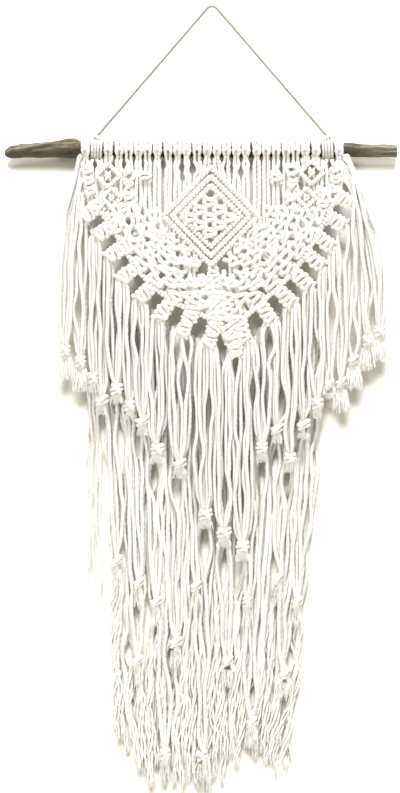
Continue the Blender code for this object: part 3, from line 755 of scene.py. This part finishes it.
def makeDiamond():
    lines = []
    for size in diamond["bars"]:
        corners = diamondCorners(diamond["centre"], *size)
        lines += hitchBar(corners, diamond["make"], diamond["depth"], closed=True)
    depth = smallDiamonds["depth"]
    for x, z, corner, size in smallDiamonds["rings"]:
        lines += hitchBar(diamondCorners((x, z), corner, corner), smallDiamonds["make"], depth, closed=True)
        tall, thick = size * smallDiamonds["knotTall"], size * smallDiamonds["knotThick"]
        lines += squareKnot(x, z, size, tall, thick, depth)
    centreX, centreZ = net["centre"]
    halfWidth, halfHeight = diamond["bars"][1]
    slope = net["stepZ"] / net["stepX"]
    for line in net["lines"]:
        offset = 2 * line * net["stepZ"]
        for lean in (-1, 1):
            ends = []
            for side in (-1, 1):
                reach = (halfHeight - lean * side * offset) / (halfHeight / halfWidth + slope)
                ends.append((centreX + side * reach, centreZ + offset + lean * side * slope * reach))
            (x0, z0), (x1, z1) = ends
            aside = Vector((z0 - z1, x1 - x0)).normalized() * net["cord"] * net["apart"]
            depth = net["depth"] + net["crossing"] * (lean > 0)
            for sign in (-1, 1):
                lines.append([(x + aside.x * sign, depth, z + aside.y * sign, net["cord"]) for x, z in ends])
    for row in range(-net["rows"], net["rows"] + 1):
        most = net["rows"] - abs(row)
        for column in range(-most, most + 1, 2):
            x, z = centreX + column * net["stepX"], centreZ + row * net["stepZ"]
            shape = (*net["knot"], net["knotRope"], net["knotDepth"])
            lines += squareKnot(x, z, *shape, splay=squareKnotRoute["wideSplay"])
    ropePiece("panelDiamonds", lines, "tight", "panel")


makeDiamond()


# belt: alternating square knots down to a hitched bar, then one bunch of knots for each station

field = {
    "rowsIn": 3, "clear": 9.0, "clearShare": 0.7, "top": -252.0, "ringClear": 8.0,
    "gaps": ((-15.0, -331.0, 15.5, 10.5), (15.5, -330.0, 15.5, 10.5)),  # x, z, half width, half height
    "sides": (  # x, z, width, height, lean
        (-155.5, -204.0, 17.0, 12.0, 0.05), (-154.0, -217.0, 17.0, 12.0, 0.10),
        (-151.0, -230.0, 18.0, 12.0, 0.20), (-105.0, -221.0, 16.0, 12.0, 0.0),
        (-104.0, -236.0, 16.0, 12.0, 0.1), (-109.0, -251.0, 18.0, 12.0, 0.3),
        (-140.0, -247.0, 15.0, 12.0, 0.4), (-104.0, -206.0, 14.0, 11.0, 0.0),
        (-123.0, -262.0, 17.0, 12.0, 0.5), (152.5, -202.0, 17.0, 12.0, -0.05),
        (154.0, -216.0, 17.0, 12.0, 0.0), (152.0, -228.0, 18.0, 12.0, -0.1),
        (101.0, -221.0, 16.0, 12.0, 0.0), (98.0, -238.0, 16.0, 12.0, -0.1),
        (137.0, -232.0, 17.0, 12.0, -0.1), (138.0, -246.0, 18.0, 12.0, -0.1),
        (99.0, -204.0, 14.0, 11.0, 0.0), (104.0, -252.0, 16.0, 11.0, -0.2),
    ),
}


def clearOfDiamond(x, z):
    centreX, centreZ = diamond["centre"]
    halfWidth, halfHeight = diamond["bars"][0]
    spare = abs(x - centreX) / halfWidth + abs(z - centreZ) / halfHeight - 1.0
    return spare * halfWidth * field["clearShare"] > field["clear"]


def inGap(x, z):
    return any(abs(x - gapX) < wide and abs(z - gapZ) < high for gapX, gapZ, wide, high in field["gaps"])


def onRing(x, z):
    rings = smallDiamonds["rings"]
    return any(
        abs(x - ringX) + abs(z - ringZ) < corner + field["ringClear"] for ringX, ringZ, corner, _ in rings
    )


def beltKnots(columns, shift, rng):
    # a column of knots for each line from the inner edge to the bar, the rows above it only where it is free
    lines = []
    for i, (inner, outer) in enumerate(columns):
        reach = (outer - inner).length
        count = max(2, round((reach - belt["spare"]) / belt["knotLength"]))
        lean = math.atan2(outer.x - inner.x, inner.y - outer.y)
        near = columns[i + 1] if i + 1 < len(columns) else columns[i - 1]
        for k in range(-field["rowsIn"], count):
            share = (k + shift) / count
            spot = inner.lerp(outer, share)
            pitch = (near[0].lerp(near[1], share) - spot).length
            if share > belt["lastShare"] or onRing(*spot):
                continue
            if share < 0.0 and (not clearOfDiamond(*spot) or inGap(*spot) or spot.y > field["top"]):
                continue
            least, most = belt["knotWidths"]
            width = min(most, max(least, pitch * belt["knotShare"])) * rng.uniform(*belt["spreadWidth"])
            x, z = (place + rng.uniform(-belt["aside"], belt["aside"]) for place in spot)
            tall = reach / count * belt["knotTall"] * rng.uniform(*belt["spreadTall"])
            depth = belt["depth"] + rng.uniform(-belt["forward"], belt["forward"])
            tilt = lean + rng.uniform(-belt["tilt"], belt["tilt"])
            flip = 1 if (i + k) % 2 else -1
            wide = squareKnotRoute["wideSplay"]
            lines += squareKnot(x, z, width, tall, belt["knotRope"], depth, tilt, flip, wide)
        # the cords that carry the knots start where the small diamonds end
        across = Vector((outer.y - inner.y, inner.x - outer.x)).normalized()
        side = across * belt["knotRope"] * carrier["apart"]
        steps = belt["carrierSteps"]
        for sign in belt["carriers"]:
            spots = [inner.lerp(outer, k / steps) + side * sign for k in range(steps + 1)]
            start = max((k + 1 for k, spot in enumerate(spots) if onRing(*spot)), default=0)
            if start < steps:
                lines.append([(x, carrier["depth"], z, carrier["radius"]) for x, z in spots[start:]])
    return lines


def makeBelt():
    rng = random.Random(5)
    lines = hitchBar(outerLine[1:-1], belt["bar"], belt["barDepth"])
    tip = belt["tip"]
    for side in ("left", "right"):
        steps = [(Vector(row[0:2]), Vector(row[2:4])) for row in belt[side][1:]]
        steps.append((Vector(tip["inner"]), Vector(tip["outer"])))
        between = [((a[0] + b[0]) / 2, (a[1] + b[1]) / 2) for a, b in zip(steps, steps[1:])]
        lines += beltKnots(steps, 0.5, rng) + beltKnots(between, 0.0, rng)
    for x, z, width, height, lean in field["sides"]:
        lines += squareKnot(x, z, width, height, belt["knotRope"], belt["depth"], lean)
    ropePiece("panelBelt", list(parted(lines, smallGaps)), "tight", "panel")
    bunches = []
    for start, end in stations:
        bunches += sinnet(start, end, belt["bunchWidth"], belt["bunchRope"], belt["bunchDepth"])
    ropePiece("panelBunches", bunches, "tight", "panel")


stations = [(row[2:4], row[4:6]) for row in belt["left"][1:] + belt["right"][1:]]
stations.append((belt["tip"]["outer"], belt["tip"]["edge"]))
makeBelt()


# knots on the loose strands, and pairs from the diamond's foot to the belt

loose = {
    "knots": ((-83.0, -211.0, 19.0, 12.0), (80.5, -213.0, 19.0, 12.0), (1.5, -333.0, 16.0, 12.0)),
    "knotRope": 2.6, "knotDepth": -14.0,
    "footPairs": (-59.0, -50.0, -38.0, -25.0, 1.5, 25.5, 36.0, 48.0, 57.0), "pairGap": 2.8,
    "underRings": (-9.0, -3.2, 3.2, 9.0), "radius": 2.7, "steps": 12,
}


def plumb(x, top, bottom):
    steps = loose["steps"]
    heights = [top + (bottom - top) * i / steps for i in range(steps + 1)]
    return [(x, carrier["depth"], z, loose["radius"]) for z in heights]


def makeLooseWork():
    lines = []
    for x, z, width, height in loose["knots"]:
        lines += squareKnot(x, z, width, height, loose["knotRope"], loose["knotDepth"])
    centreX, centreZ = diamond["centre"]
    halfWidth, halfHeight = diamond["bars"][0]
    for x in loose["footPairs"]:
        top = centreZ - halfHeight * (1.0 - abs(x - centreX) / halfWidth)
        for sign in (-1, 1):
            lines.append(plumb(x + sign * loose["pairGap"], top, lineAt(innerLine[1:-1], x)))
    rings = smallDiamonds["rings"]
    for smallX, smallZ, corner, _ in rings:
        for shift in loose["underRings"]:
            x = smallX + shift
            lower = [ring for ring in rings if abs(x - ring[0]) < ring[2] and ring[1] < smallZ]
            bottom = lower[0][1] + lower[0][2] - abs(x - lower[0][0]) if lower else barAt(x)
            lines.append(plumb(x, smallZ - corner + abs(shift), bottom))
    ropePiece("panelLooseWork", list(parted(lines, smallGaps)), "strand", "panel")


makeLooseWork()


# what both fringes share: slow bends, frayed ends and gathering knots

cordHabit = {
    "waves": ((45, 80, 0.45), (110, 190, 1.0)), "waveSize": (0.5, 1.3),  # lengths from and to, share
    "hairReach": (0.6, 1.0), "curl": 1.2, "hairTip": 0.3,
    "knotWidth": 9.5, "knotPerCord": 1.9, "knotMost": 19.0,
    "turns": 2.0, "turnSteps": 20, "firstTurn": (-2.8, -1.6),
    "loop": (
        (-0.30, -0.8, 0.7, 0.9), (-0.10, -2.0, 0.25, 1.0), (0.16, -2.0, -0.25, 1.0), (0.26, -0.6, -0.8, 0.9),
    ),
    "gatherNear": 0.8, "gatherAt": 0.35, "gatherIn": 0.40,
}


def nearestBunch(x, z):
    return min(stations, key=lambda station: math.dist(station[1], (x, z)))


def swayOf(rng, size):
    # the slow bends a cord keeps from the coil it came off
    waves = [
        (rng.uniform(low, high), rng.uniform(0, math.tau), share) for low, high, share in cordHabit["waves"]
    ]
    scale = size * rng.uniform(*cordHabit["waveSize"])
    return lambda z: scale * sum(
        share * math.sin(math.tau * z / length + phase) for length, phase, share in waves
    )


def hangDown(rootZ, endZ, segment, least=3):
    # the share and height of each point down a cord
    count = max(least, round((rootZ - endZ) / segment))
    return [(j / count, rootZ + (endZ - rootZ) * (j / count)) for j in range(count + 1)]


def tuftLines(x, y, z, spread, length, count, rng, thick=0.85):
    # loose fibres below a knot, thin and a little curled
    hairs = []
    for _ in range(count):
        angle, out = rng.uniform(0, math.tau), spread * math.sqrt(rng.random())
        dx, dy = out * math.cos(angle), out * math.sin(angle) * 0.7
        reach = length * rng.uniform(*cordHabit["hairReach"])
        curl = rng.uniform(-cordHabit["curl"], cordHabit["curl"])
        hairs.append([
            (x + dx * 0.4, y + dy * 0.4, z, thick),
            (x + dx * 0.8 + curl, y + dy * 0.8, z - reach * 0.45, thick * 0.8),
            (x + dx * 1.3 - curl * 0.4, y + dy, z - reach, cordHabit["hairTip"]),
        ])
    return hairs


def gatherKnot(x, y, z, cords, uneven, half, radius, rng):
    # an overhand knot: two turns round the gathered cords and a loop across the front
    bundle = cordHabit["knotWidth"] + cords * cordHabit["knotPerCord"]
    width = min(cordHabit["knotMost"], bundle) * rng.uniform(*uneven)
    start, steps = rng.uniform(*cordHabit["firstTurn"]), cordHabit["turnSteps"]
    path = []
    for i in range(steps + 1):
        share = i / steps
        angle = math.tau * cordHabit["turns"] * share + start
        swell = 0.80 + 0.20 * math.sin(math.pi * share)
        path.append((
            x + (width / 2 - radius) * swell * math.cos(angle), y - radius * 1.35 * math.sin(angle) * swell,
            z + (half - radius * 0.7) * (1 - 2 * share) + 0.22 * half * math.cos(angle), radius,
        ))
    lean = rng.choice((-1, 1))
    loop = [
        (x + lean * width * px, y + radius * py, z + half * pz, radius * thick)
        for px, py, pz, thick in cordHabit["loop"]
    ]
    return [smoothed(path, 2), smoothed(loop)]


def gathered(x, depth, knotX, knotY, knotZ, radius, make):
    # the last stretch of a cord that runs into a knot and out below it
    half, reach = make["knotHalf"], make["gather"]
    near, middle = (knotX + (x - knotX) * cordHabit[share] for share in ("gatherNear", "gatherIn"))
    return [
        (near, depth, knotZ + half + reach * cordHabit["gatherAt"], radius),
        (middle, (depth + knotY) / 2, knotZ + half + 3.0, radius * 0.95),
        (middle * 0.4 + knotX * 0.6, knotY, knotZ, radius * 0.8),
        (middle, knotY, knotZ - half, radius * 0.85),
        (x * 0.3 + middle * 0.7, knotY, knotZ - half - 6.0, radius * 0.75),
    ]


# front fringe: cords leave the belt in bunches, fan out at its edge and hang to knots on a stepped V

fringe = {
    "groups": (  # x and z of the knot, cords
        (-183.0, -428.0, 4), (-164.0, -442.0, 4), (-148.0, -462.0, 3), (-137.0, -490.0, 4),
        (-119.0, -476.0, 5), (-102.0, -497.0, 4), (-86.0, -516.0, 5), (-68.0, -551.0, 6),
        (-40.0, -569.0, 6), (-8.0, -632.0, 6), (15.0, -655.0, 6), (38.0, -672.0, 6), (62.0, -549.0, 5),
        (81.0, -526.0, 5), (97.0, -562.0, 4), (114.0, -520.0, 5), (131.0, -494.0, 4), (146.0, -470.0, 3),
        (161.0, -468.0, 3), (176.0, -440.0, 4), (193.0, -416.0, 3), (209.0, -404.0, 4),
    ),
    "spacing": 4.8, "radius": 2.9, "uneven": 0.07, "layers": (-16.6, -9.6, -13.0), "layerSpread": 0.7,
    "fan": 1.6, "wave": 1.8, "stray": 1.5, "segment": 22.0, "bunchSqueeze": 0.40, "underBunch": 30.0,
    "sideX": (161.0, 162.0), "sideTop": -186.0,
    "corners": ((-1, 1, 30.0, -3.0), (1, -2, 40.0, -6.0)),  # side, place on the edge, reach, drawn in
    "cornerOut": 2.0, "cornerTop": -192.0,
    "knotHalf": 7.0, "knotY": (-12.0, -12.6), "knotRope": 2.9, "knotUneven": (0.9, 1.15), "gather": 52.0,
    # up, spread, length, how many hairs, how thick; the first kind from "outer" to the sides
    "outer": 150.0, "outerTuft": (4.0, 7.0, 30.0, 26, 1.1), "tuft": (2.0, 2.4, 9.0, 6, 1.0),
    "parted": (  # x, z, radius of a tall gap
        (88.0, -494.0, 2.3), (106.0, -530.0, 2.1), (119.0, -527.0, 1.5), (-93.0, -415.0, 1.5),
        (-44.0, -424.0, 1.9), (-36.0, -465.0, 1.7), (29.0, -440.0, 1.9), (17.0, -608.0, 1.9),
        (70.0, -415.0, 1.7), (-31.0, -420.0, 1.4), (13.0, -428.0, 1.5), (73.0, -422.0, 1.4),
        (-55.0, -412.0, 1.2), (166.0, -230.0, 3.0), (162.5, -290.0, 2.2), (146.0, -484.0, 2.2),
        (88.0, -496.0, 1.0), (132.0, -433.0, 1.9), (176.0, -415.0, 2.1), (198.0, -380.0, 1.7),
        (-61.0, -541.0, 1.7), (-16.0, -558.0, 1.7), (-168.0, -380.0, 1.5), (-73.0, -470.0, 1.5),
        (50.0, -480.0, 1.5), (-5.0, -500.0, 1.5), (150.0, -380.0, 1.5),
    ),
}


def fringeRoot(x):
    # a cord hangs below its own bunch, or from the side of the panel when it ends farther out
    for side, corner, reach, inward in fringe["corners"]:
        cornerX, cornerZ = edgeLine[corner]
        out = side * (x - cornerX) + fringe["cornerOut"]
        if out > 0.0:
            share = min(1.0, out / reach)
            rootX = cornerX + side * fringe["cornerOut"] + inward * share
            return rootX, cornerZ + (fringe["cornerTop"] - cornerZ) * share, False
    return x, lineAt(edgeLine, x), True


def frontCord(x, knotX, knotZ, depth, radius, rng):
    rootX, rootZ, inBunch = fringeRoot(x)
    if inBunch:
        (outerX, outerZ), (edgeX, edgeZ) = nearestBunch(rootX, rootZ)
        aside = rootX - edgeX
        pull = aside * fringe["bunchSqueeze"]
        path = [
            (outerX + pull * 0.6, -12.0, outerZ, radius * 0.85),
            ((outerX + edgeX) / 2 + pull, -12.6, (outerZ + edgeZ) / 2, radius * 0.85),
            (edgeX + aside * 0.66, (depth - 26.0) / 3, edgeZ + 1.0, radius * 0.95),
            (edgeX + aside * 0.92, (depth - 13.0) / 2, edgeZ - 11.0, radius),
        ]
        rootZ = edgeZ - fringe["underBunch"]
    else:
        side = -1 if rootX < 0 else 1
        top, (topX, nextX) = fringe["sideTop"], fringe["sideX"]
        path = [(side * topX, -9.0, top, radius * 0.9)]
        if rootZ < -205.0:
            path.append((side * nextX + rng.uniform(-2.0, 2.0), -10.0, (rootZ + top) / 2, radius))
        path.append((rootX - side * 2.0, (depth - 11.5) / 2, rootZ + 6.0, radius))
    path.append((rootX, depth, rootZ, radius))
    sway, stray = swayOf(rng, fringe["wave"]), rng.uniform(-1.0, 1.0) * fringe["stray"]
    for share, z in hangDown(rootZ, knotZ + fringe["knotHalf"] + fringe["gather"], fringe["segment"])[1:]:
        spread = 1.0 - (1.0 - share) ** fringe["fan"]
        aside = (sway(z) + stray) * min(1.0, share * 3)
        path.append((rootX + (x - rootX) * spread + aside, depth, z, radius))
    return path + gathered(x, depth, knotX, fringe["knotY"][0], knotZ, radius, fringe)


def makeFrontFringe():
    rng = random.Random(23)
    lines, knots, hairs = [], [], []
    for knotX, knotZ, cords in fringe["groups"]:
        for place in range(cords):
            x = knotX + (place - (cords - 1) / 2) * fringe["spacing"]
            loosely = rng.uniform(-fringe["layerSpread"], fringe["layerSpread"])
            depth = fringe["layers"][len(lines) % 3] + loosely
            radius = fringe["radius"] * rng.uniform(1.0 - fringe["uneven"], 1.0 + fringe["uneven"])
            path = frontCord(x, knotX, knotZ, depth, radius, rng)
            lines.append(smoothed(path))
            endX, endY, endZ, _ = path[-1]
            up, spread, length, count, thick = fringe["outerTuft" if abs(knotX) > fringe["outer"] else "tuft"]
            hairs += tuftLines(endX, endY, endZ + up, spread, length, count, rng, thick)
        knots += gatherKnot(
            knotX, fringe["knotY"][1], knotZ, cords, fringe["knotUneven"], fringe["knotHalf"],
            fringe["knotRope"], rng
        )
    ropePiece("frontFringeCords", list(drawnApart(lines, fringe["parted"])), "front", "front_fringe")
    ropePiece("frontFringeKnots", knots, "tight", "front_fringe")
    ropePiece("frontFringeFrays", hairs, "frontFray", "front_fringe")


makeFrontFringe()


# back fringe: long cords, some gathered in knots on the way, let down into loose plies below

backFringe = {
    "cords": 60, "layers": (5.0, 8.6), "knottedLayers": (0.0, 4.0), "layerSpread": (0.6, 1.2), "radius": 3.0,
    "sides": (  # z, left x, right x
        (-1000.0, -100.0, 88.0), (-925.0, -113.0, 96.0), (-885.0, -122.0, 101.0), (-815.0, -125.0, 109.0),
        (-745.0, -126.0, 114.0), (-680.0, -126.0, 121.0), (-590.0, -127.0, 130.0), (-520.0, -131.0, 135.0),
        (-460.0, -141.0, 137.0), (-400.0, -150.0, 137.0),
    ),
    "ends": (  # x, z
        (-128.0, -850.0), (-122.0, -893.0), (-112.0, -905.0), (-98.0, -942.0), (-80.0, -972.0),
        (-60.0, -952.0), (-40.0, -962.0), (-16.0, -974.0), (4.0, -962.0), (30.0, -932.0), (52.0, -938.0),
        (70.0, -928.0), (90.0, -952.0), (100.0, -920.0), (110.0, -870.0), (135.0, -790.0),
    ),
    "strays": (  # x at the belt, x and z at the end
        (-157.0, -155.0, -728.0), (-155.0, -149.0, -742.0), (-152.0, -141.0, -735.0),
        (-149.0, -135.0, -790.0),
    ),
    "strayPoints": 24, "strayWave": 2.0, "strayThin": (0.95, 0.35),
    "wave": 2.3, "knottedWave": 2.07, "segment": 16.0, "rootUneven": (-5.0, 7.0), "endUneven": (-6.0, 40.0),
    "looseFrom": (0.5, 0.8), "plyRadius": 2.3, "plyTaper": 0.35, "plyOut": (1.3, 2.4), "plyTurn": 62.0,
    "plySway": 0.7, "plyTuft": (2.0, 18.0, 4), "knotTuft": (3.5, 24.0, 8, 1.0),
    "rootPull": 0.88, "rootDrop": 36.0, "rootForward": -5.0,
    "lock": 0.42, "lockFrom": -560.0, "lockFull": -700.0,
    "knots": (  # x, z, cords
        (-118.0, -690.0, 3), (-91.6, -718.0, 3), (-93.0, -815.0, 3), (-45.0, -792.0, 4), (-70.0, -742.0, 3),
        (19.4, -816.0, 4), (91.0, -832.0, 4), (82.5, -713.0, 3), (50.0, -892.0, 4), (-58.8, -932.0, 3),
        (-12.5, -934.0, 3), (-20.0, -722.0, 3), (106.0, -742.0, 3), (44.0, -742.0, 3),
    ),
    "knotHalf": 7.0, "knotY": (-2.0, -2.5), "knotRope": 2.8, "knotUneven": (0.9, 1.2),
    "gather": 60.0, "spacing": 5.6,
    "parted": (  # x, z, radius of a tall gap
        (-72.0, -584.0, 3.2), (-44.0, -592.0, 3.6), (-10.0, -676.0, 3.4), (14.0, -694.0, 2.8),
        (34.0, -702.0, 3.0), (62.0, -576.0, 3.0), (78.0, -570.0, 2.6), (94.0, -590.0, 2.5),
        (79.0, -704.0, 2.5), (-81.0, -762.0, 2.5), (-94.0, -752.0, 2.1), (-105.0, -808.0, 2.3),
        (-52.0, -812.0, 2.5), (20.0, -834.0, 2.7), (97.0, -815.0, 2.7), (92.0, -855.0, 2.7),
        (51.0, -860.0, 1.4), (-16.0, -948.0, 2.5), (93.0, -942.0, 2.3), (88.0, -494.0, 2.7),
        (106.0, -530.0, 2.5), (-44.0, -424.0, 2.3), (29.0, -440.0, 2.3), (-111.0, -690.0, 1.9),
        (-113.0, -536.0, 2.3), (-94.0, -541.0, 2.1), (-31.0, -420.0, 1.6), (13.0, -428.0, 1.7),
        (73.0, -422.0, 1.6),
    ),
}


def backEnd(x):
    ends = backFringe["ends"]
    return lineAt(ends, x) or (ends[0][1] if x < ends[0][0] else ends[-1][1])


def acrossBack(share, z):
    heights, lefts, rights = zip(*backFringe["sides"])
    left, right = (float(np.interp(z, heights, edges)) for edges in (lefts, rights))
    return left + (right - left) * share


def belowBunch(x, z, edge):
    # cords leave the belt behind its bunches and open out below
    gone = min(1.0, max(0.0, (edge[1] + 5.0 - z) / backFringe["rootDrop"]))
    pull = backFringe["rootPull"] + (1.0 - backFringe["rootPull"]) * gone * (2.0 - gone)
    return edge[0] + (x - edge[0]) * pull, backFringe["rootForward"] * (1.0 - gone) ** 2


def loosePlies(centre, rng):
    # a cord let down: its three plies still turn about each other, a little apart and uneven
    plies = []
    drift = rng.uniform(0.8, 1.2)
    close, wide = backFringe["plyOut"]
    for ply in range(3):
        offset, own = math.tau * ply / 3 + rng.uniform(-0.5, 0.5), swayOf(rng, backFringe["plySway"])
        path = []
        for j, (x, y, z, _) in enumerate(centre):
            share = j / max(1, len(centre) - 1)
            opened = min(1.0, share * 2.2)
            turn = offset + math.tau * z / (backFringe["plyTurn"] * drift)
            out = close + (wide - close) * opened
            radius = backFringe["plyRadius"] * (1.0 - backFringe["plyTaper"] * share)
            east = x + out * math.cos(turn) + own(z) * opened
            path.append((east, y + out * math.sin(turn) * 0.7, z, radius))
        plies.append(path)
    return plies


def longCords(rng):
    # neighbours draw together into locks lower down, and every cord ends on the ragged bottom line
    lockOf, lockX = [], []
    while len(lockOf) < backFringe["cords"]:
        size = rng.choice((2, 3, 3, 4))
        lockX.append(len(lockOf) + (size - 1) / 2 + rng.uniform(-0.3, 0.3))
        lockOf += [len(lockX) - 1] * size
    last = backFringe["cords"] - 1
    for i in range(last + 1):
        towardsLock = (lockX[lockOf[i]] - i) * backFringe["lock"]
        rootX = acrossBack(i / last, 0.0)
        rootZ = lineAt(edgeLine, rootX) + rng.uniform(*backFringe["rootUneven"])
        edge = nearestBunch(rootX, rootZ)[1]
        endZ = rootZ - 60.0
        while endZ > backEnd(acrossBack(i / last, endZ)):
            endZ -= 5.0
        endZ += rng.uniform(*backFringe["endUneven"])
        spread = backFringe["layerSpread"][0]
        depth = backFringe["layers"][i % 2] + rng.uniform(-spread, spread)
        sway = swayOf(rng, backFringe["wave"])
        path = []
        for share, z in hangDown(rootZ, endZ, backFringe["segment"], 4):
            locked = float(np.interp(z, (backFringe["lockFull"], backFringe["lockFrom"]), (1.0, 0.0)))
            x, forward = belowBunch(acrossBack((i + towardsLock * locked) / last, z), z, edge)
            thick = backFringe["radius"] * min(1.0, 0.55 + share * 12)
            path.append((x + sway(z) * min(1.0, share * 3), depth * min(1.0, share * 6) + forward, z, thick))
        yield smoothed(path, 3), rng.uniform(*backFringe["looseFrom"])


def strayCords(rng):
    thick, thinner = backFringe["strayThin"]
    for rootX, endX, endZ in backFringe["strays"]:
        rootZ, sway = lineAt(edgeLine, rootX) + 4.0, swayOf(rng, backFringe["strayWave"])
        path = []
        points = backFringe["strayPoints"]
        for j in range(points + 1):
            share, z = j / points, rootZ + (endZ - rootZ) * j / points
            x = rootX + (endX - rootX) * share + sway(z) * min(1.0, share * 3)
            depth = backFringe["layers"][0] * min(1.0, share * 6)
            path.append((x, depth, z, backFringe["radius"] * (thick - thinner * share)))
        yield smoothed(path, 3)


def knottedCord(x, place, knotX, knotZ, rng):
    left, right = acrossBack(0.0, knotZ), acrossBack(1.0, knotZ)
    rootX = acrossBack(min(1.0, max(0.0, (x - left) / (right - left))), 0.0)
    rootZ = lineAt(edgeLine, rootX) + 5.0
    edge = nearestBunch(rootX, rootZ)[1]
    spread = backFringe["layerSpread"][1]
    depth = backFringe["knottedLayers"][place % 2] + rng.uniform(-spread, spread)
    sway = swayOf(rng, backFringe["knottedWave"])
    path = []
    lowest = knotZ + backFringe["knotHalf"] + backFringe["gather"]
    for share, z in hangDown(rootZ, lowest, backFringe["segment"]):
        fromX, forward = belowBunch(rootX, z, edge)
        aside = sway(z) * min(1.0, share * 3)
        path.append((fromX + (x - rootX) * share + aside, depth + forward * 0.6, z, backFringe["radius"]))
    return path + gathered(x, depth, knotX, backFringe["knotY"][0], knotZ, backFringe["radius"], backFringe)


def makeBackFringe():
    rng = random.Random(41)
    cords, plies, hairs, knots = [], [], [], []
    for centre, looseFrom in longCords(rng):
        split = round(len(centre) * looseFrom)
        cords.append(centre[:split + 2])
        for ply in loosePlies(centre[split:], rng):
            plies.append(ply)
            x, y, z, _ = ply[-1]
            hairs += tuftLines(x, y, z + 3.0, *backFringe["plyTuft"], rng)
    cords += strayCords(rng)
    for knotX, knotZ, count in backFringe["knots"]:
        for place in range(count):
            x = knotX + (place - (count - 1) / 2) * backFringe["spacing"]
            path = knottedCord(x, place, knotX, knotZ, rng)
            cords.append(smoothed(path))
            endX, endY, endZ, _ = path[-1]
            spread, length, fibres, thick = backFringe["knotTuft"]
            hairs += tuftLines(endX, endY, endZ + 2.0, spread, length, fibres, rng, thick)
        knots += gatherKnot(
            knotX, backFringe["knotY"][1], knotZ, count, backFringe["knotUneven"], backFringe["knotHalf"],
            backFringe["knotRope"], rng,
        )
    cords, plies = (list(drawnApart(lines, backFringe["parted"])) for lines in (cords, plies))
    for name, lines, lay in (
        ("Cords", cords, "back"), ("Plies", plies, "backPly"),
        ("Knots", knots, "tight"), ("Frays", hairs, "backFray"),
    ):
        ropePiece("backFringe" + name, lines, lay, "back_fringe")


makeBackFringe()


# stage: a pale backdrop close behind, which lets views from behind through, and a pale floor far below

stage = {
    "backdropY": 17.0, "half": 2600.0, "floorZ": -1300.0, "backdrop": "#a29e94", "floor": "#e4e3df",
    "shader": {"Roughness": 0.9, "Specular IOR Level": 0.1}, "sky": 0.50, "skyTint": "#fff7e6",
    "aim": (0.0, 0.0, -0.5),
    "lights": {  # place, size, power, tint
        "keyLight": ((0.35, -1.35, 2.6), 0.6, 216.0, "#f9fbff"),
        "fillLight": ((-2.5, -5.2, 1.0), 2.6, 140.0, "#f9fbff"),
        "wallWash": ((-0.3, -4.8, 3.6), 2.8, 1980.0, "#f1f4fd"),
        "rearLight": ((0.6, 2.4, 0.8), 2.0, 55.0, "#ffffff"),
    },
}


def plainMaterial(name, colour, oneWay):
    material, add, _ = newMaterial(name, {"Base Color": linear(colour), **stage["shader"]})
    if oneWay:
        nodes = material.node_tree.nodes
        behind = add("ShaderNodeNewGeometry").outputs["Backfacing"]
        clear = add("ShaderNodeBsdfTransparent")
        seen = add("ShaderNodeMixShader", {"Fac": behind, 1: nodes["Principled BSDF"], 2: clear})
        feed(material.node_tree, nodes["Material Output"], {"Surface": seen})
    return material


def stagePlane(name, corners, material):
    mesh = bpy.data.meshes.new(name)
    mesh.from_pydata([[value * mm for value in corner] for corner in corners], [], [(0, 1, 2, 3)])
    mesh.materials.append(material)
    plane = bpy.data.objects.new(name, mesh)
    scene.collection.objects.link(plane)
    return plane


def areaLight(name, place, size, power, tint):
    lamp = bpy.data.lights.new(name, "AREA")
    lamp.shape = "DISK"
    lamp.size = size
    lamp.energy = power
    lamp.color = linear(tint)[:3]
    seat = bpy.data.objects.new(name, lamp)
    seat.location = place
    seat.rotation_euler = (Vector(stage["aim"]) - Vector(place)).to_track_quat("-Z", "Y").to_euler()
    scene.collection.objects.link(seat)
    return seat


def makeStage():
    half, y, low = stage["half"], stage["backdropY"], stage["floorZ"]
    upright = [(-half, y, low), (half, y, low), (half, y, half), (-half, y, half)]
    floor = [(-half, -half * 2, low), (half, -half * 2, low), (half, half * 2, low), (-half, half * 2, low)]
    backdrop = stagePlane("wallBackdrop", upright, plainMaterial("wallPaint", stage["backdrop"], True))
    stagePlane("paleFloor", floor, plainMaterial("floorPaint", stage["floor"], False))
    lights = {name: areaLight(name, *make) for name, make in stage["lights"].items()}
    # the wash lights the backdrop alone, past the thin hanger, and the rear light passes through the backdrop
    washed, washBlockers, rearBlockers = (
        bpy.data.collections.new(name) for name in ("washedWall", "washBlockers", "rearBlockers")
    )
    washed.objects.link(backdrop)
    for thing in scene.objects:
        if thing.type == "MESH" and thing != backdrop:
            rearBlockers.objects.link(thing)
            if thing.name != "hangerCordLaid":
                washBlockers.objects.link(thing)
    lights["wallWash"].light_linking.receiver_collection = washed
    lights["wallWash"].light_linking.blocker_collection = washBlockers
    lights["rearLight"].light_linking.blocker_collection = rearBlockers
    world = bpy.data.worlds.new("sky")
    world.use_nodes = True
    background = world.node_tree.nodes["Background"].inputs
    background["Color"].default_value = linear(stage["skyTint"])
    background["Strength"].default_value = stage["sky"]
    scene.world = world
    scene.view_settings.view_transform = "Standard"
    print("stage made")


makeStage()
